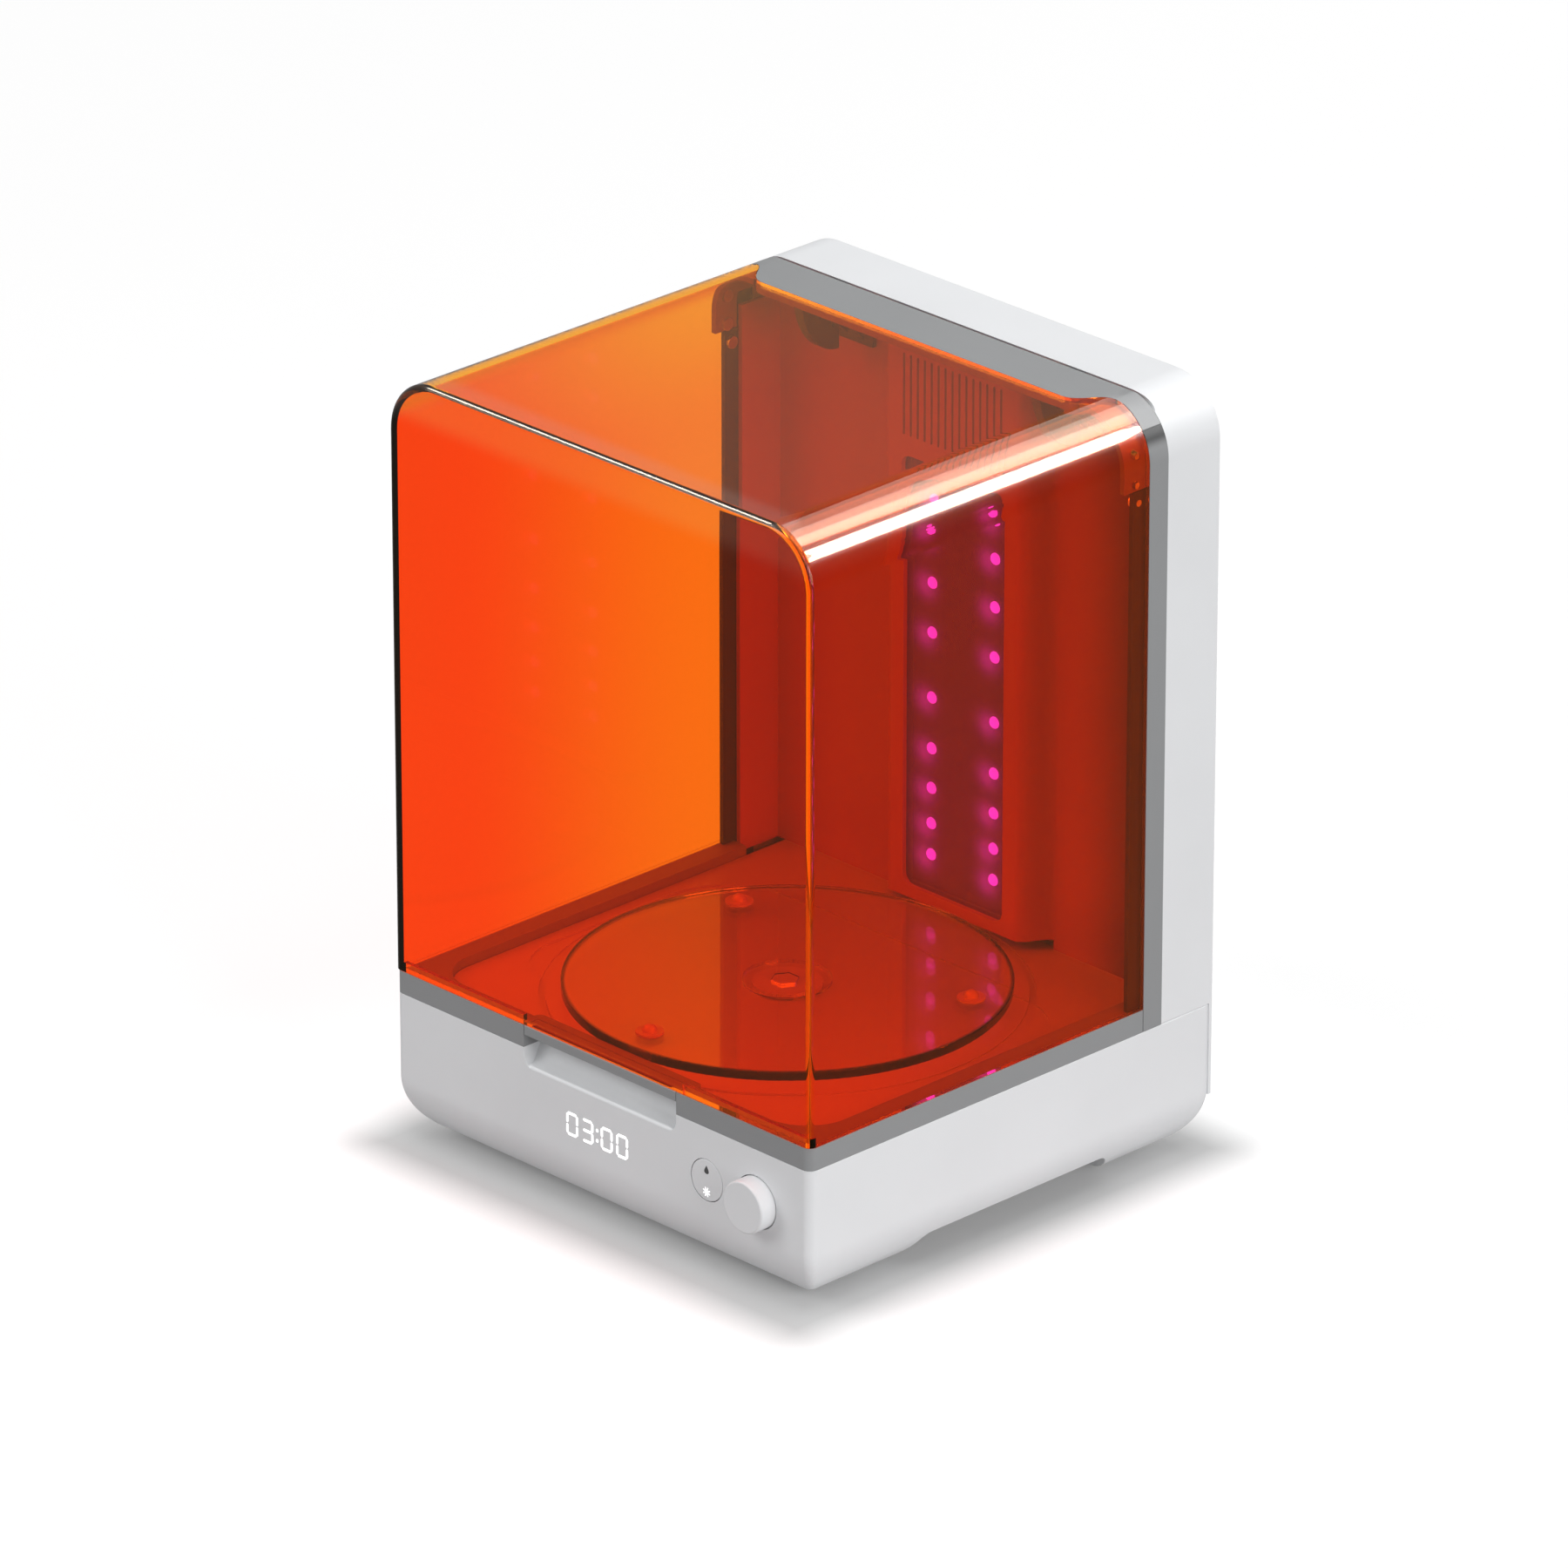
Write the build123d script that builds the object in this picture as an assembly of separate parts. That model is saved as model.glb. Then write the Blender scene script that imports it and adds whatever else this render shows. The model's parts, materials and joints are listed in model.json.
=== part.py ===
from build123d import *
import os
from math import cos, radians, sin

os.makedirs("parts", exist_ok=True)

# Driving dimensions in millimetres. X to the right, Y to the back, Z up.
# The origin is under the middle of the station, on the surface it stands on.

# Whole body
body_width = 250.0
body_depth = 238.0
body_height = 350.0
base_height = 68.0
knob_proud = 8.0
foot_proud = 1.0

# Depths measured forward from the back face
column_depth = 31.1
bezel_reach = 11.25

# Roundings of the outside
top_radius = 25.0
bottom_radius = 28.0
corner_radius = 4.5
hood_edge_radius = 3.0

# Walls
hood_wall = 3.5
shell_wall = 3.0
liner_wall = 2.2
bezel_wall = 6.0
frame_wall = 4.0
band_height = 10.25
seam_bevel = 0.4

# Named clearances
part_gap = 0.35
run_gap = 0.3
shaft_gap = 0.06

# Underside arch between the front and rear rails
arch_height = 14.0
arch_start = 58.0
arch_rear = 47.0
arch_ramp = 17.0
base_flat = 0.6

# Service plate in the arch's roof
plate_half_width = 90.0
plate_margin = 4.0
plate_wall = 1.6
plate_rim = 6.0
plate_screw_x = 3.0
plate_screw_y = 8.0
plate_slots = 11
plate_slot_pitch = 8.0
plate_slot_width = 2.4
plate_slot_length = 36.0

# Hood cut-out with the hinge frame in it
tongue_depth = 14.8
tongue_half_width = 88.0
tongue_s_width = 21.0
tongue_skirt = 8.0
tongue_skirt_wall = 2.0
seam_half_width = 120.3
corner_lug_reach = 12.5
corner_lug_wall = 2.4
corner_lug_drop = 35.2
corner_screw_rise = 3.1
corner_screw_pitch = 13.0
lug_gap = 0.2
hood_rib_height = 3.0
hood_rib_depth = 2.0

# Hinge
hinge_radius = 3.4
hinge_setback = 2.5
hinge_eye_radius = 2.6
hinge_pin_radius = 1.2
hinge_groove_radius = 2.9
hinge_sweep_radius = 4.12
hinge_x = 70.0
arm_wall = 5.0
lug_wall = 4.0
arm_depth = 23.0
arm_height = 29.0
arm_hole_radius = 1.6
bracket_drop = 12.0
bracket_height = 18.0
bracket_wall = 2.5
bracket_margin = 5.0
bracket_screw_head = 2.4

# Finger recess and handle
recess_half_width = 46.0
recess_low = 60.3
recess_high = 73.3
recess_reach = 10.0
recess_corner = 6.0
recess_lip = 1.4
handle_tab_half_width = 42.0
handle_tab_wall = 2.0
handle_tab_low = 75.0
bulge_half_width = 49.5
bulge_reach = 14.3
bulge_corner = 3.2
magnet_radius = 2.0
magnet_wall = 2.0
bezel_lip = 7.0
lid_sensor_size = 12.0
lid_sensor_wall = 2.5
bumper_radius = 1.4

# Chamber floor
ledge_side = 13.0
ledge_front = 11.0
ledge_corner = 20.0
floor_level = 74.0
floor_wall = 3.0
floor_lip = 3.0
pocket_half_width = 105.0
pocket_half_depth = 65.0
pocket_corner = 28.0
pocket_drop = 0.8
groove_margin = 6.4
groove_width = 3.0
groove_drop = 1.2

# Turntable and its drive
table_gap = 1.9
table_wall = 4.2
table_hub_radius = 18.0
table_edge_round = 0.6
peg_inset = 15.6
peg_radius = 3.2
peg_ring_radius = 6.0
peg_ring_wall = 0.8
peg_seat = 0.5
peg_dome_sink = 0.2
peg_count = 3
spindle_radius = 5.0
spindle_head_radius = 14.0
spindle_head_wall = 2.0
spindle_key = 6.0
spindle_rise = 2.5
lift_gap = 0.1
bearing_radius = 11.0
bearing_wall = 7.0
motor_radius = 16.0
motor_length = 17.0
motor_gear_radius = 18.5
motor_gear_length = 11.0
motor_plate_half = 26.0
motor_plate_wall = 2.0
motor_drop = 13.0

# Rear wall of the chamber
wall_setback = 19.0
pillar_reach = 13.0
pillar_half_width = 36.5
pillar_flank = 13.5
pillar_foot = 4.5
window_half_width = 29.9
window_rise = 10.0
window_drop = 70.0
window_corner = 5.0
window_wall = 2.0
led_column_x = 18.6
led_shares = (0.077, 0.151, 0.235, 0.329, 0.449, 0.602, 0.719, 0.832, 0.923)
led_size = 3.5
led_rise = 1.6
led_board_wall = 1.6
led_board_gap = 1.6
vent_slots = 15
vent_pitch = 4.1
vent_width = 1.3
vent_rise = 9.0
vent_drop = 24.0

# Fan and heat sink behind the rear wall
fan_size = 40.0
fan_depth = 8.0
fan_bore_radius = 18.6
fan_hub_radius = 9.0
fan_blades = 7
fan_blade_wall = 1.0
sink_base = 2.5
sink_fins = 9
sink_fin_wall = 1.4
sink_depth = 9.0

# Front controls, heights of their centres above the base bottom
control_height = 44.0
knob_x = 93.3
knob_radius = 11.6
knob_edge = 1.0
knob_recess_gap = 0.5
knob_sink = 2.2
knob_wall = 2.4
encoder_size = 12.0
encoder_depth = 4.6
encoder_shaft_radius = 3.0
button_x = 64.2
button_radius = 9.3
button_gap = 0.35
button_travel = 1.0
button_wall = 2.4
button_stem_radius = 2.4
button_stem = 2.2
switch_size = 6.0
switch_depth = 2.3
digit_height = 10.6
digit_pitch = 9.5
digit_height_centre = 42.0
digit_window_wall = 0.8
board_setback = 8.0
board_wall = 1.6
main_board_half = 60.0
main_board_depth = 52.0
main_board_level = 26.0
board_edge_gap = 9.85
chip_size = 20.0
chip_rise = 2.2
coil_radius = 7.0
coil_rise = 8.0
plug_width = 22.0
plug_depth = 8.0
plug_rise = 9.0
can_radius = 5.0
can_rise = 12.0
board_post_inset = 5.0
board_post_radius = 3.2
clip_radius = 2.0
front_board_low = 30.0
front_board_high = 56.5

# Back
panel_wall = 2.15
panel_low = 26.0
exhaust_slots = 7
exhaust_pitch = 6.0
exhaust_width = 2.6
panel_screw_inset = 9.0
panel_screw_margin = 12.0
panel_post_depth = 8.0
panel_post_radius = 4.0
inlet_x = -80.0
inlet_height = 44.0
inlet_radius = 5.5
inlet_flange = 9.0
inlet_depth = 14.0
screw_radius = 1.5
screw_head_radius = 2.8
screw_head_wall = 1.6
foot_radius = 9.0
foot_x = 84.0
foot_socket = 1.0
foot_gap = 0.2
foot_edge = 0.4

# Places worked out from the driving dimensions
half_width = body_width / 2
y_front = -(body_depth + knob_proud) / 2 + knob_proud
y_back = y_front + body_depth
y_white = y_back - column_depth
y_hood = y_white - bezel_reach
y_bezel = y_hood + part_gap
y_column = y_back - panel_wall
y_wall = y_back - wall_setback
y_pillar = y_wall - pillar_reach
y_table = (y_front + y_wall) / 2
table_radius = y_pillar - y_table - table_gap
groove_radius = table_radius + groove_margin
peg_circle = table_radius - peg_inset
y_tongue = y_hood - tongue_depth
z_base = foot_proud
z_deck = base_height + band_height
z_hood = z_deck + part_gap
z_hinge = body_height - hinge_radius
y_hinge = y_white - hinge_setback
z_table = z_deck + 2.5
z_control = control_height
z_cavity = z_base + base_flat + shell_wall
lug_face = half_width - hood_wall - lug_gap - corner_lug_wall
corner_lug_low = body_height - corner_lug_drop
window_low = floor_level + window_rise
window_high = body_height - window_drop
vent_low = window_high + vent_rise
vent_high = body_height - vent_drop


def block(x0, x1, y0, y1, z0, z1):
    """A box given by its two corners."""
    centre = Pos((x0 + x1) / 2, (y0 + y1) / 2, (z0 + z1) / 2)
    return centre * Box(x1 - x0, y1 - y0, z1 - z0)


def along_y(sketch, y0, y1):
    """A front-view sketch (X, Z) pushed from depth y0 to depth y1."""
    return extrude(Plane.XZ.offset(-y1) * sketch, amount=y1 - y0)


def along_x(sketch, x0, x1):
    """A side-view sketch (Y, Z) pushed from x0 to x1."""
    return extrude(Plane.YZ.offset(x0) * sketch, amount=x1 - x0)


def along_z(sketch, z0, z1):
    """A plan-view sketch (X, Y) pushed from height z0 to height z1."""
    return extrude(Plane.XY.offset(z0) * sketch, amount=z1 - z0)


def rod_x(radius, x0, x1, y, z):
    return along_x(Pos(y, z) * Circle(radius), x0, x1)


def rod_y(radius, y0, y1, x, z):
    return along_y(Pos(x, z) * Circle(radius), y0, y1)


def rod_z(radius, z0, z1, x, y):
    return along_z(Pos(x, y) * Circle(radius), z0, z1)


def front_view(inset, z0, radius=top_radius):
    """The front outline of hood and column, drawn in by inset, from z0 up."""
    half = half_width - inset
    top = body_height - inset
    bend = radius - inset
    outline = Polyline((half, top - bend), (half, z0), (-half, z0), (-half, top - bend))
    left = RadiusArc((-half, top - bend), (-half + bend, top), bend)
    right = RadiusArc((half - bend, top), (half, top - bend), bend)
    roof = Line((-half + bend, top), (half - bend, top))
    return make_face([outline, left, roof, right])


def rounded_box(x0, x1, y0, y1, radius):
    """A plan-view rectangle with four equal corners."""
    return Pos((x0 + x1) / 2, (y0 + y1) / 2) * RectangleRounded(x1 - x0, y1 - y0, radius)


def save(name, shape):
    """Write one node, as a solid or as a group of solids."""
    shape.label = name
    export_step(shape, "parts/" + name + ".step")


def group(shapes):
    """Identical or related loose solids kept in one node."""
    solids = []
    for shape in shapes:
        solids.extend(shape.solids())
    return Compound(children=solids)


# Base


def base_side(inset):
    """The base seen from the side: a tub with both lower edges rounded."""
    y0 = y_front + inset
    y1 = y_back - inset
    low = z_base + inset
    bend = bottom_radius - inset
    outline = Polyline((y0, low + bend), (y0, base_height), (y1, base_height), (y1, low + bend))
    rear = RadiusArc((y1, low + bend), (y1 - bend, low), bend)
    front = RadiusArc((y0 + bend, low), (y0, low + bend), bend)
    foot = Line((y1 - bend, low), (y0 + bend, low))
    return make_face([outline, rear, foot, front])


def base_front(inset):
    """The base seen from the front, with the same lower rounding."""
    half = half_width - inset
    low = z_base + inset
    bend = bottom_radius - inset
    outline = Polyline((-half, low + bend), (-half, base_height), (half, base_height), (half, low + bend))
    right = RadiusArc((half, low + bend), (half - bend, low), bend)
    left = RadiusArc((-half + bend, low), (-half, low + bend), bend)
    foot = Line((half - bend, low), (-half + bend, low))
    return make_face([outline, right, foot, left])


def base_body(inset, low_cut):
    """Both rounded outlines crossed, with the upright corners softened."""
    body = along_y(base_front(inset), y_front + inset, y_back - inset)
    body = body & along_x(base_side(inset), -half_width + inset, half_width - inset)
    body = body - block(-half_width, half_width, y_front, y_back, 0, low_cut)
    softness = max(corner_radius - inset, 1.5)
    upright = body.edges().filter_by(Axis.Z)
    mitre = [edge for edge in body.edges() if edge.geom_type == GeomType.ELLIPSE]
    return fillet(list(upright) + mitre, softness)


def arch_side(grow):
    """Side view of the space under the body, its ramps eased at both ends."""
    a0 = y_front + arch_start - grow
    a1 = y_back - arch_rear + grow
    low = z_base - 5.0
    top = z_base + arch_height + grow
    middle = arch_ramp / 2
    front = Bezier((a0, z_base), (a0 + middle, z_base), (a0 + middle, top), (a0 + arch_ramp, top))
    roof = Line((a0 + arch_ramp, top), (a1 - arch_ramp, top))
    rear = Bezier((a1 - arch_ramp, top), (a1 - middle, top), (a1 - middle, z_base), (a1, z_base))
    foot = Polyline((a1, z_base), (a1, low), (a0, low), (a0, z_base))
    return make_face([front, roof, rear, foot])


def recess_void():
    """The scoop behind the front face where the fingers reach the handle."""
    half = recess_half_width
    low = recess_low - recess_lip
    bend = recess_corner
    mouth = Polyline((-half, low + bend), (-half, z_deck), (half, z_deck), (half, low + bend))
    right = RadiusArc((half, low + bend), (half - bend, low), bend)
    left = RadiusArc((-half + bend, low), (-half, low + bend), bend)
    sill = Line((half - bend, low), (-half + bend, low))
    opening = along_y(make_face([mouth, right, sill, left]), y_front - 1, y_front + recess_reach)
    # Side view of the scoop: a rounded lip, then the sill rises towards the back in one curve
    top = z_deck + 1
    back = y_front + recess_reach
    y0 = y_front + recess_lip
    lip = RadiusArc((y_front, low), (y0, recess_low), recess_lip)
    slope = Bezier((y0, recess_low), (y0 + 4, recess_low), (back, recess_low + 3), (back, recess_high))
    rest = Polyline((back, recess_high), (back, top), (y_front - 1, top), (y_front - 1, low), (y_front, low))
    return opening & along_x(make_face([lip, slope, rest]), -half, half)


def base_cavity():
    """Room inside the base: down into both rails and up over the arch."""
    cavity = base_body(shell_wall, z_cavity)
    cavity = cavity & block(-half_width, half_width, y_front, y_column - shell_wall, 0, base_height + 1)
    return cavity - along_x(arch_side(shell_wall), -half_width, half_width)


def base_shell():
    outer = base_body(0, z_base + base_flat)
    outer = chamfer(outer.faces().sort_by(Axis.Z)[-1].edges(), seam_bevel)
    # Rebate of the back panel
    rebate = block(-half_width - 1, half_width + 1, y_column, y_back + 1, panel_low - part_gap, base_height + 1)
    shell = outer - base_cavity() - rebate
    shell = shell - along_x(arch_side(0), -half_width - 1, half_width + 1)
    # The inner side of the finger scoop, then the scoop itself
    wall_back = y_front + recess_reach + shell_wall
    half = recess_half_width + shell_wall
    pad = block(-half, half, y_front + 1, wall_back, recess_low - shell_wall, base_height)
    shell = shell + pad - recess_void()
    # Shallow sockets for the rubber feet
    for x, y in foot_places():
        shell = shell - rod_z(foot_radius + foot_gap, 0, z_base + base_flat + foot_socket, x, y)
    # Service opening with a rebate for the bottom plate
    x0, x1, y0, y1 = plate_span()
    rim = plate_rim
    seat = z_base + arch_height + plate_wall
    shell = shell - block(x0 + rim, x1 - rim, y0 + rim, y1 - rim, 0, seat + shell_wall)
    shell = shell - block(x0, x1, y0, y1, 0, seat)
    # Front controls
    shell = shell - rod_y(knob_radius + knob_recess_gap, y_front - 1, y_front + knob_sink, knob_x, z_control)
    shell = shell - rod_y(encoder_shaft_radius + 0.5, y_front, y_front + shell_wall + 1, knob_x, z_control)
    shell = shell - rod_y(button_radius + button_gap, y_front - 1, y_front + shell_wall + 1, button_x, z_control)
    # The shell is thinned behind the digits so that they shine through
    half_digits = display_half_width() + 0.3
    low = digit_height_centre - digit_height / 2 - 2.3
    high = digit_height_centre + digit_height / 2 + 2.3
    shell = shell - block(
        -half_digits, half_digits, y_front + digit_window_wall, y_front + shell_wall + 1, low, high
    )
    # Holes in the rear wall for the power inlet and the lower panel screws
    shell = shell - rod_y(inlet_radius + 1.5, y_column - shell_wall - 1, y_back + 1, inlet_x, inlet_height)
    for x, z in panel_screw_places():
        if z < base_height:
            shell = shell - rod_y(screw_radius, y_column - shell_wall - 1, y_column + 1, x, z)
    return shell


def plate_span():
    y0 = y_front + arch_start + arch_ramp + plate_margin
    y1 = y_back - arch_rear - arch_ramp - plate_margin
    return -plate_half_width, plate_half_width, y0, y1


def bottom_plate():
    x0, x1, y0, y1 = plate_span()
    z0 = z_base + arch_height
    plate = block(x0 + part_gap, x1 - part_gap, y0 + part_gap, y1 - part_gap, z0, z0 + plate_wall)
    # Slots that let the warm air of the electronics out
    slot = RectangleRounded(plate_slot_width, plate_slot_length, plate_slot_width / 2 - 0.1)
    for k in range(plate_slots):
        x = (k - (plate_slots - 1) / 2) * plate_slot_pitch
        plate = plate - along_z(Pos(x, (y0 + y1) / 2) * slot, z0 - 1, z0 + plate_wall + 1)
    for x, y in plate_screw_places():
        plate = plate - rod_z(screw_radius + 0.2, z0 - 1, z0 + plate_wall + 1, x, y)
    return plate


def plate_screw_places():
    x0, x1, y0, y1 = plate_span()
    places = []
    for x in (x0 + plate_screw_x, x1 - plate_screw_x):
        for y in (y0 + plate_screw_y, y1 - plate_screw_y):
            places.append((x, y))
    return places


def foot_places():
    """Under the middle of the front rail and of the rear rail."""
    y0 = y_front + (bottom_radius + arch_start) / 2
    y1 = y_back - (bottom_radius + arch_rear) / 2
    return [(-foot_x, y0), (foot_x, y0), (-foot_x, y1), (foot_x, y1)]


def display_half_width():
    return 2 * digit_pitch + 3.2


def rubber_feet():
    top = z_base + base_flat + foot_socket
    feet = []
    for x, y in foot_places():
        foot = rod_z(foot_radius, 0, top, x, y)
        feet.append(chamfer(foot.edges().filter_by(GeomType.CIRCLE).sort_by(Axis.Z)[0], foot_edge))
    return group(feet)


def plate_screws():
    z0 = z_base + arch_height
    screws = []
    for x, y in plate_screw_places():
        head = rod_z(screw_head_radius, z0 - screw_head_wall, z0, x, y)
        screws.append(head + rod_z(screw_radius, z0 - 0.1, z0 + plate_wall, x, y))
    return group(screws)


def deck_plan(y_end):
    """Plan of the grey band: the body's outline with small front corners."""
    bend = corner_radius
    half = half_width
    sides = Polyline((-half, y_front + bend), (-half, y_end), (half, y_end), (half, y_front + bend))
    right = RadiusArc((half, y_front + bend), (half - bend, y_front), bend)
    left = RadiusArc((-half + bend, y_front), (-half, y_front + bend), bend)
    front = Line((half - bend, y_front), (-half + bend, y_front))
    return make_face([sides, right, front, left])


def deck_opening(inset, y_end):
    """Plan of the chamber floor's edge, its front corners widely rounded."""
    half = half_width - ledge_side - inset
    y0 = y_front + ledge_front + inset
    bend = ledge_corner - inset
    sides = Polyline((-half, y0 + bend), (-half, y_end), (half, y_end), (half, y0 + bend))
    right = RadiusArc((half, y0 + bend), (half - bend, y0), bend)
    left = RadiusArc((-half + bend, y0), (-half, y0 + bend), bend)
    front = Line((half - bend, y0), (-half + bend, y0))
    return make_face([sides, right, front, left])


def bulge_plan(grow):
    """Plan of the band's bulge behind the finger scoop."""
    reach = bulge_reach + grow
    bulge = rounded_box(
        -bulge_half_width - grow, bulge_half_width + grow, y_front + recess_reach - 10, y_front + reach,
        bulge_corner,
    )
    return bulge


def deck_band():
    band = along_z(deck_plan(y_hood), base_height, z_deck)
    band = band - along_z(deck_opening(0, y_back), floor_level - floor_wall, z_deck + 1)
    band = band - along_z(deck_opening(floor_lip, y_back), base_height - 1, z_deck + 1)
    band = band + along_z(bulge_plan(0), base_height, z_deck)
    slot = recess_half_width
    band = band - block(-slot, slot, y_front - 1, y_front + recess_reach, base_height - 1, z_deck + 1)
    return band


def chamber_floor():
    top = floor_level
    plate = along_z(deck_opening(part_gap, y_wall + liner_wall), top - floor_wall, top)
    plate = plate - along_z(bulge_plan(part_gap), top - floor_wall - 1, top + 1)
    # Ring groove and the shallow pocket with its four corners beyond the disc
    ring = Circle(groove_radius + groove_width) - Circle(groove_radius)
    groove = along_z(Pos(0, y_table) * ring, top - groove_drop, top + 1)
    inside = along_z(deck_opening(part_gap + 2, y_wall - 2), 0, body_height)
    inside = inside - along_z(bulge_plan(part_gap + 2), 0, body_height)
    pocket = rounded_box(
        -pocket_half_width,
        pocket_half_width,
        y_table - pocket_half_depth,
        y_table + pocket_half_depth,
        pocket_corner,
    )
    plate = plate - (groove & inside) - (along_z(pocket, top - pocket_drop, top + 1) & inside)
    return plate - rod_z(spindle_radius + 1.0, 0, body_height, 0, y_table)


# Turntable and drive


def table_levels():
    """Heights of the disc's underside, the hub's seat and the spindle head."""
    under = z_table - table_wall
    seat = floor_level - pocket_drop + 1.0 + spindle_head_wall
    return under, seat


def turntable_disc():
    under, seat = table_levels()
    disc = rod_z(table_radius, under, z_table, 0, y_table)
    rims = disc.edges().filter_by(GeomType.CIRCLE)
    disc = fillet(rims, table_edge_round)
    for x, y in peg_places():
        disc = disc - rod_z(peg_ring_radius, z_table - peg_seat, z_table + 1, x, y)
    return disc - rod_z(table_hub_radius, under - 1, z_table + 1, 0, y_table)


def key_plan(gap):
    return Pos(0, y_table) * RegularPolygon(spindle_key + gap, 6)


def turntable_hub():
    under, seat = table_levels()
    low = seat + lift_gap
    hub = rod_z(table_hub_radius, low, z_table, 0, y_table)
    return hub - along_z(key_plan(run_gap / 2), low - 1, low + spindle_rise + 0.3)


def peg_places():
    places = []
    for k in range(peg_count):
        angle = radians(-90 + 360 / peg_count * k)
        places.append((peg_circle * cos(angle), y_table + peg_circle * sin(angle)))
    return places


def turntable_pegs():
    """Locating pegs: a domed pip on a flat ring that is let into the disc."""
    low = z_table - peg_seat
    top = z_table + peg_ring_wall
    pegs = []
    for x, y in peg_places():
        ring = rod_z(peg_ring_radius, low, top, x, y)
        pip = Pos(x, y, top - peg_dome_sink) * Sphere(peg_radius)
        pegs.append(ring + (pip & rod_z(peg_ring_radius, low, body_height, x, y)))
    return group(pegs)


def drive_spindle():
    under, seat = table_levels()
    plate = motor_levels()[0]
    shaft = rod_z(spindle_radius, plate - 2, seat - 0.5, 0, y_table)
    head = rod_z(spindle_head_radius, seat - spindle_head_wall, seat, 0, y_table)
    return shaft + head + along_z(key_plan(0), seat - 0.5, seat + spindle_rise)


def motor_levels():
    """Heights of the bracket plate's underside and upper side."""
    low = floor_level - floor_wall - motor_drop
    return low, low + motor_plate_wall


def motor_bracket():
    low, high = motor_levels()
    half = motor_plate_half
    top = floor_level - floor_wall
    y0 = y_table - half
    y1 = y_table + half
    plate = block(-half, half, y0, y1, low, high)
    for side in (-1, 1):
        inner = side * (half - motor_plate_wall)
        outer = side * half
        flange = side * (half + 9)
        plate = plate + block(min(inner, outer), max(inner, outer), y0, y1, low, top)
        plate = plate + block(min(inner, flange), max(inner, flange), y0, y1, top - motor_plate_wall, top)
        for y in (y0 + 8, y1 - 8):
            plate = plate - rod_z(screw_radius + 0.2, low, top + 1, side * (half + 5), y)
    return plate - rod_z(spindle_radius + 1, low - 1, high + 1, 0, y_table)


def hub_bearing():
    low, high = motor_levels()
    ring = rod_z(bearing_radius, high, high + bearing_wall, 0, y_table)
    return ring - rod_z(spindle_radius + shaft_gap, low, high + 9, 0, y_table)


def drive_motor():
    low, high = motor_levels()
    gear = rod_z(motor_gear_radius, low - motor_gear_length, low, 0, y_table)
    can_top = low - motor_gear_length
    can = rod_z(motor_radius, can_top - motor_length, can_top, 0, y_table)
    can = fillet(can.edges().filter_by(GeomType.CIRCLE).sort_by(Axis.Z)[0], 1.5)
    bore = rod_z(spindle_radius + shaft_gap, low - 2 - run_gap, low + 1, 0, y_table)
    return gear + can - bore


# Hood and hinge


def tongue_plan(grow):
    """Plan of the hinge frame's tongue: a bar whose ends swing back in an S."""
    half = tongue_half_width + grow / 2
    reach = half + tongue_s_width
    bend = tongue_s_width / 2
    y0 = y_tongue - grow
    y1 = y_bezel + 1
    left = Bezier((-reach, y_hood), (-reach + bend, y_hood), (-half - bend, y0), (-half, y0))
    right = Bezier((half, y0), (half + bend, y0), (reach - bend, y_hood), (reach, y_hood))
    front = Line((-half, y0), (half, y0))
    rear = Polyline((reach, y_hood), (reach, y1), (-reach, y1), (-reach, y_hood))
    return make_face([left, front, right, rear])


def hood():
    shell = along_y(front_view(0, z_hood), y_front, y_hood)
    front = [edge for edge in shell.edges() if edge.center().Y < y_front + 0.01]
    rim = [edge for edge in front if edge.center().Z > z_hood + 0.01]
    shell = fillet(rim, hood_edge_radius)
    shell = shell - along_y(front_view(hood_wall, z_hood - 1), y_front + hood_wall, y_hood + 1)
    # Thicker rim along the lower front edge, left bare over the handle
    inner = half_width - hood_wall
    for side in (-1, 1):
        x0 = side * (recess_half_width + 2)
        x1 = side * inner
        rib = block(
            min(x0, x1), max(x0, x1), y_front + hood_wall, y_front + hood_wall + hood_rib_depth, z_hood,
            z_hood + hood_rib_height,
        )
        shell = shell + rib
    # Cut-out for the tongue of the hinge frame
    cut = along_z(tongue_plan(part_gap), body_height - frame_wall - hood_wall, body_height + 1)
    shell = shell - cut
    # Tab that is bonded into the handle
    y1 = y_front + hood_wall
    tab = block(
        -handle_tab_half_width, handle_tab_half_width, y1 - handle_tab_wall, y1, handle_tab_low, z_hood + 1
    )
    shell = shell + tab
    for side in (-1, 1):
        for z in corner_screw_heights():
            x0 = side * (inner - 6)
            x1 = side * (inner + 2.4)
            shell = shell - rod_x(screw_radius, min(x0, x1), max(x0, x1), corner_screw_depth(), z)
    return shell


def corner_screw_heights():
    first = corner_lug_low + corner_screw_rise
    return first, first + corner_screw_pitch


def corner_screw_depth():
    return y_hood - corner_lug_reach / 2


def hood_handle():
    """The strip under the hood's front edge that the fingers lift."""
    half = recess_half_width - part_gap
    low = recess_high + part_gap
    back = y_front + recess_reach - part_gap
    strip = block(-half, half, y_front, back, low, z_deck)
    front_edge = [
        edge for edge in strip.edges().filter_by(Axis.X) if edge.center().Y < y_front + 0.01
    ]
    strip = fillet(front_edge, 0.5)
    y1 = y_front + hood_wall
    slot = block(
        -handle_tab_half_width, handle_tab_half_width, y1 - handle_tab_wall, y1, handle_tab_low, z_deck + 1
    )
    magnet = rod_z(magnet_radius, low - 1, low + magnet_wall, 0, back - magnet_radius - 1)
    return strip - slot - magnet


def lid_magnet():
    low = recess_high + part_gap
    back = y_front + recess_reach - part_gap
    return rod_z(magnet_radius, low, low + magnet_wall, 0, back - magnet_radius - 1)


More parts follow.
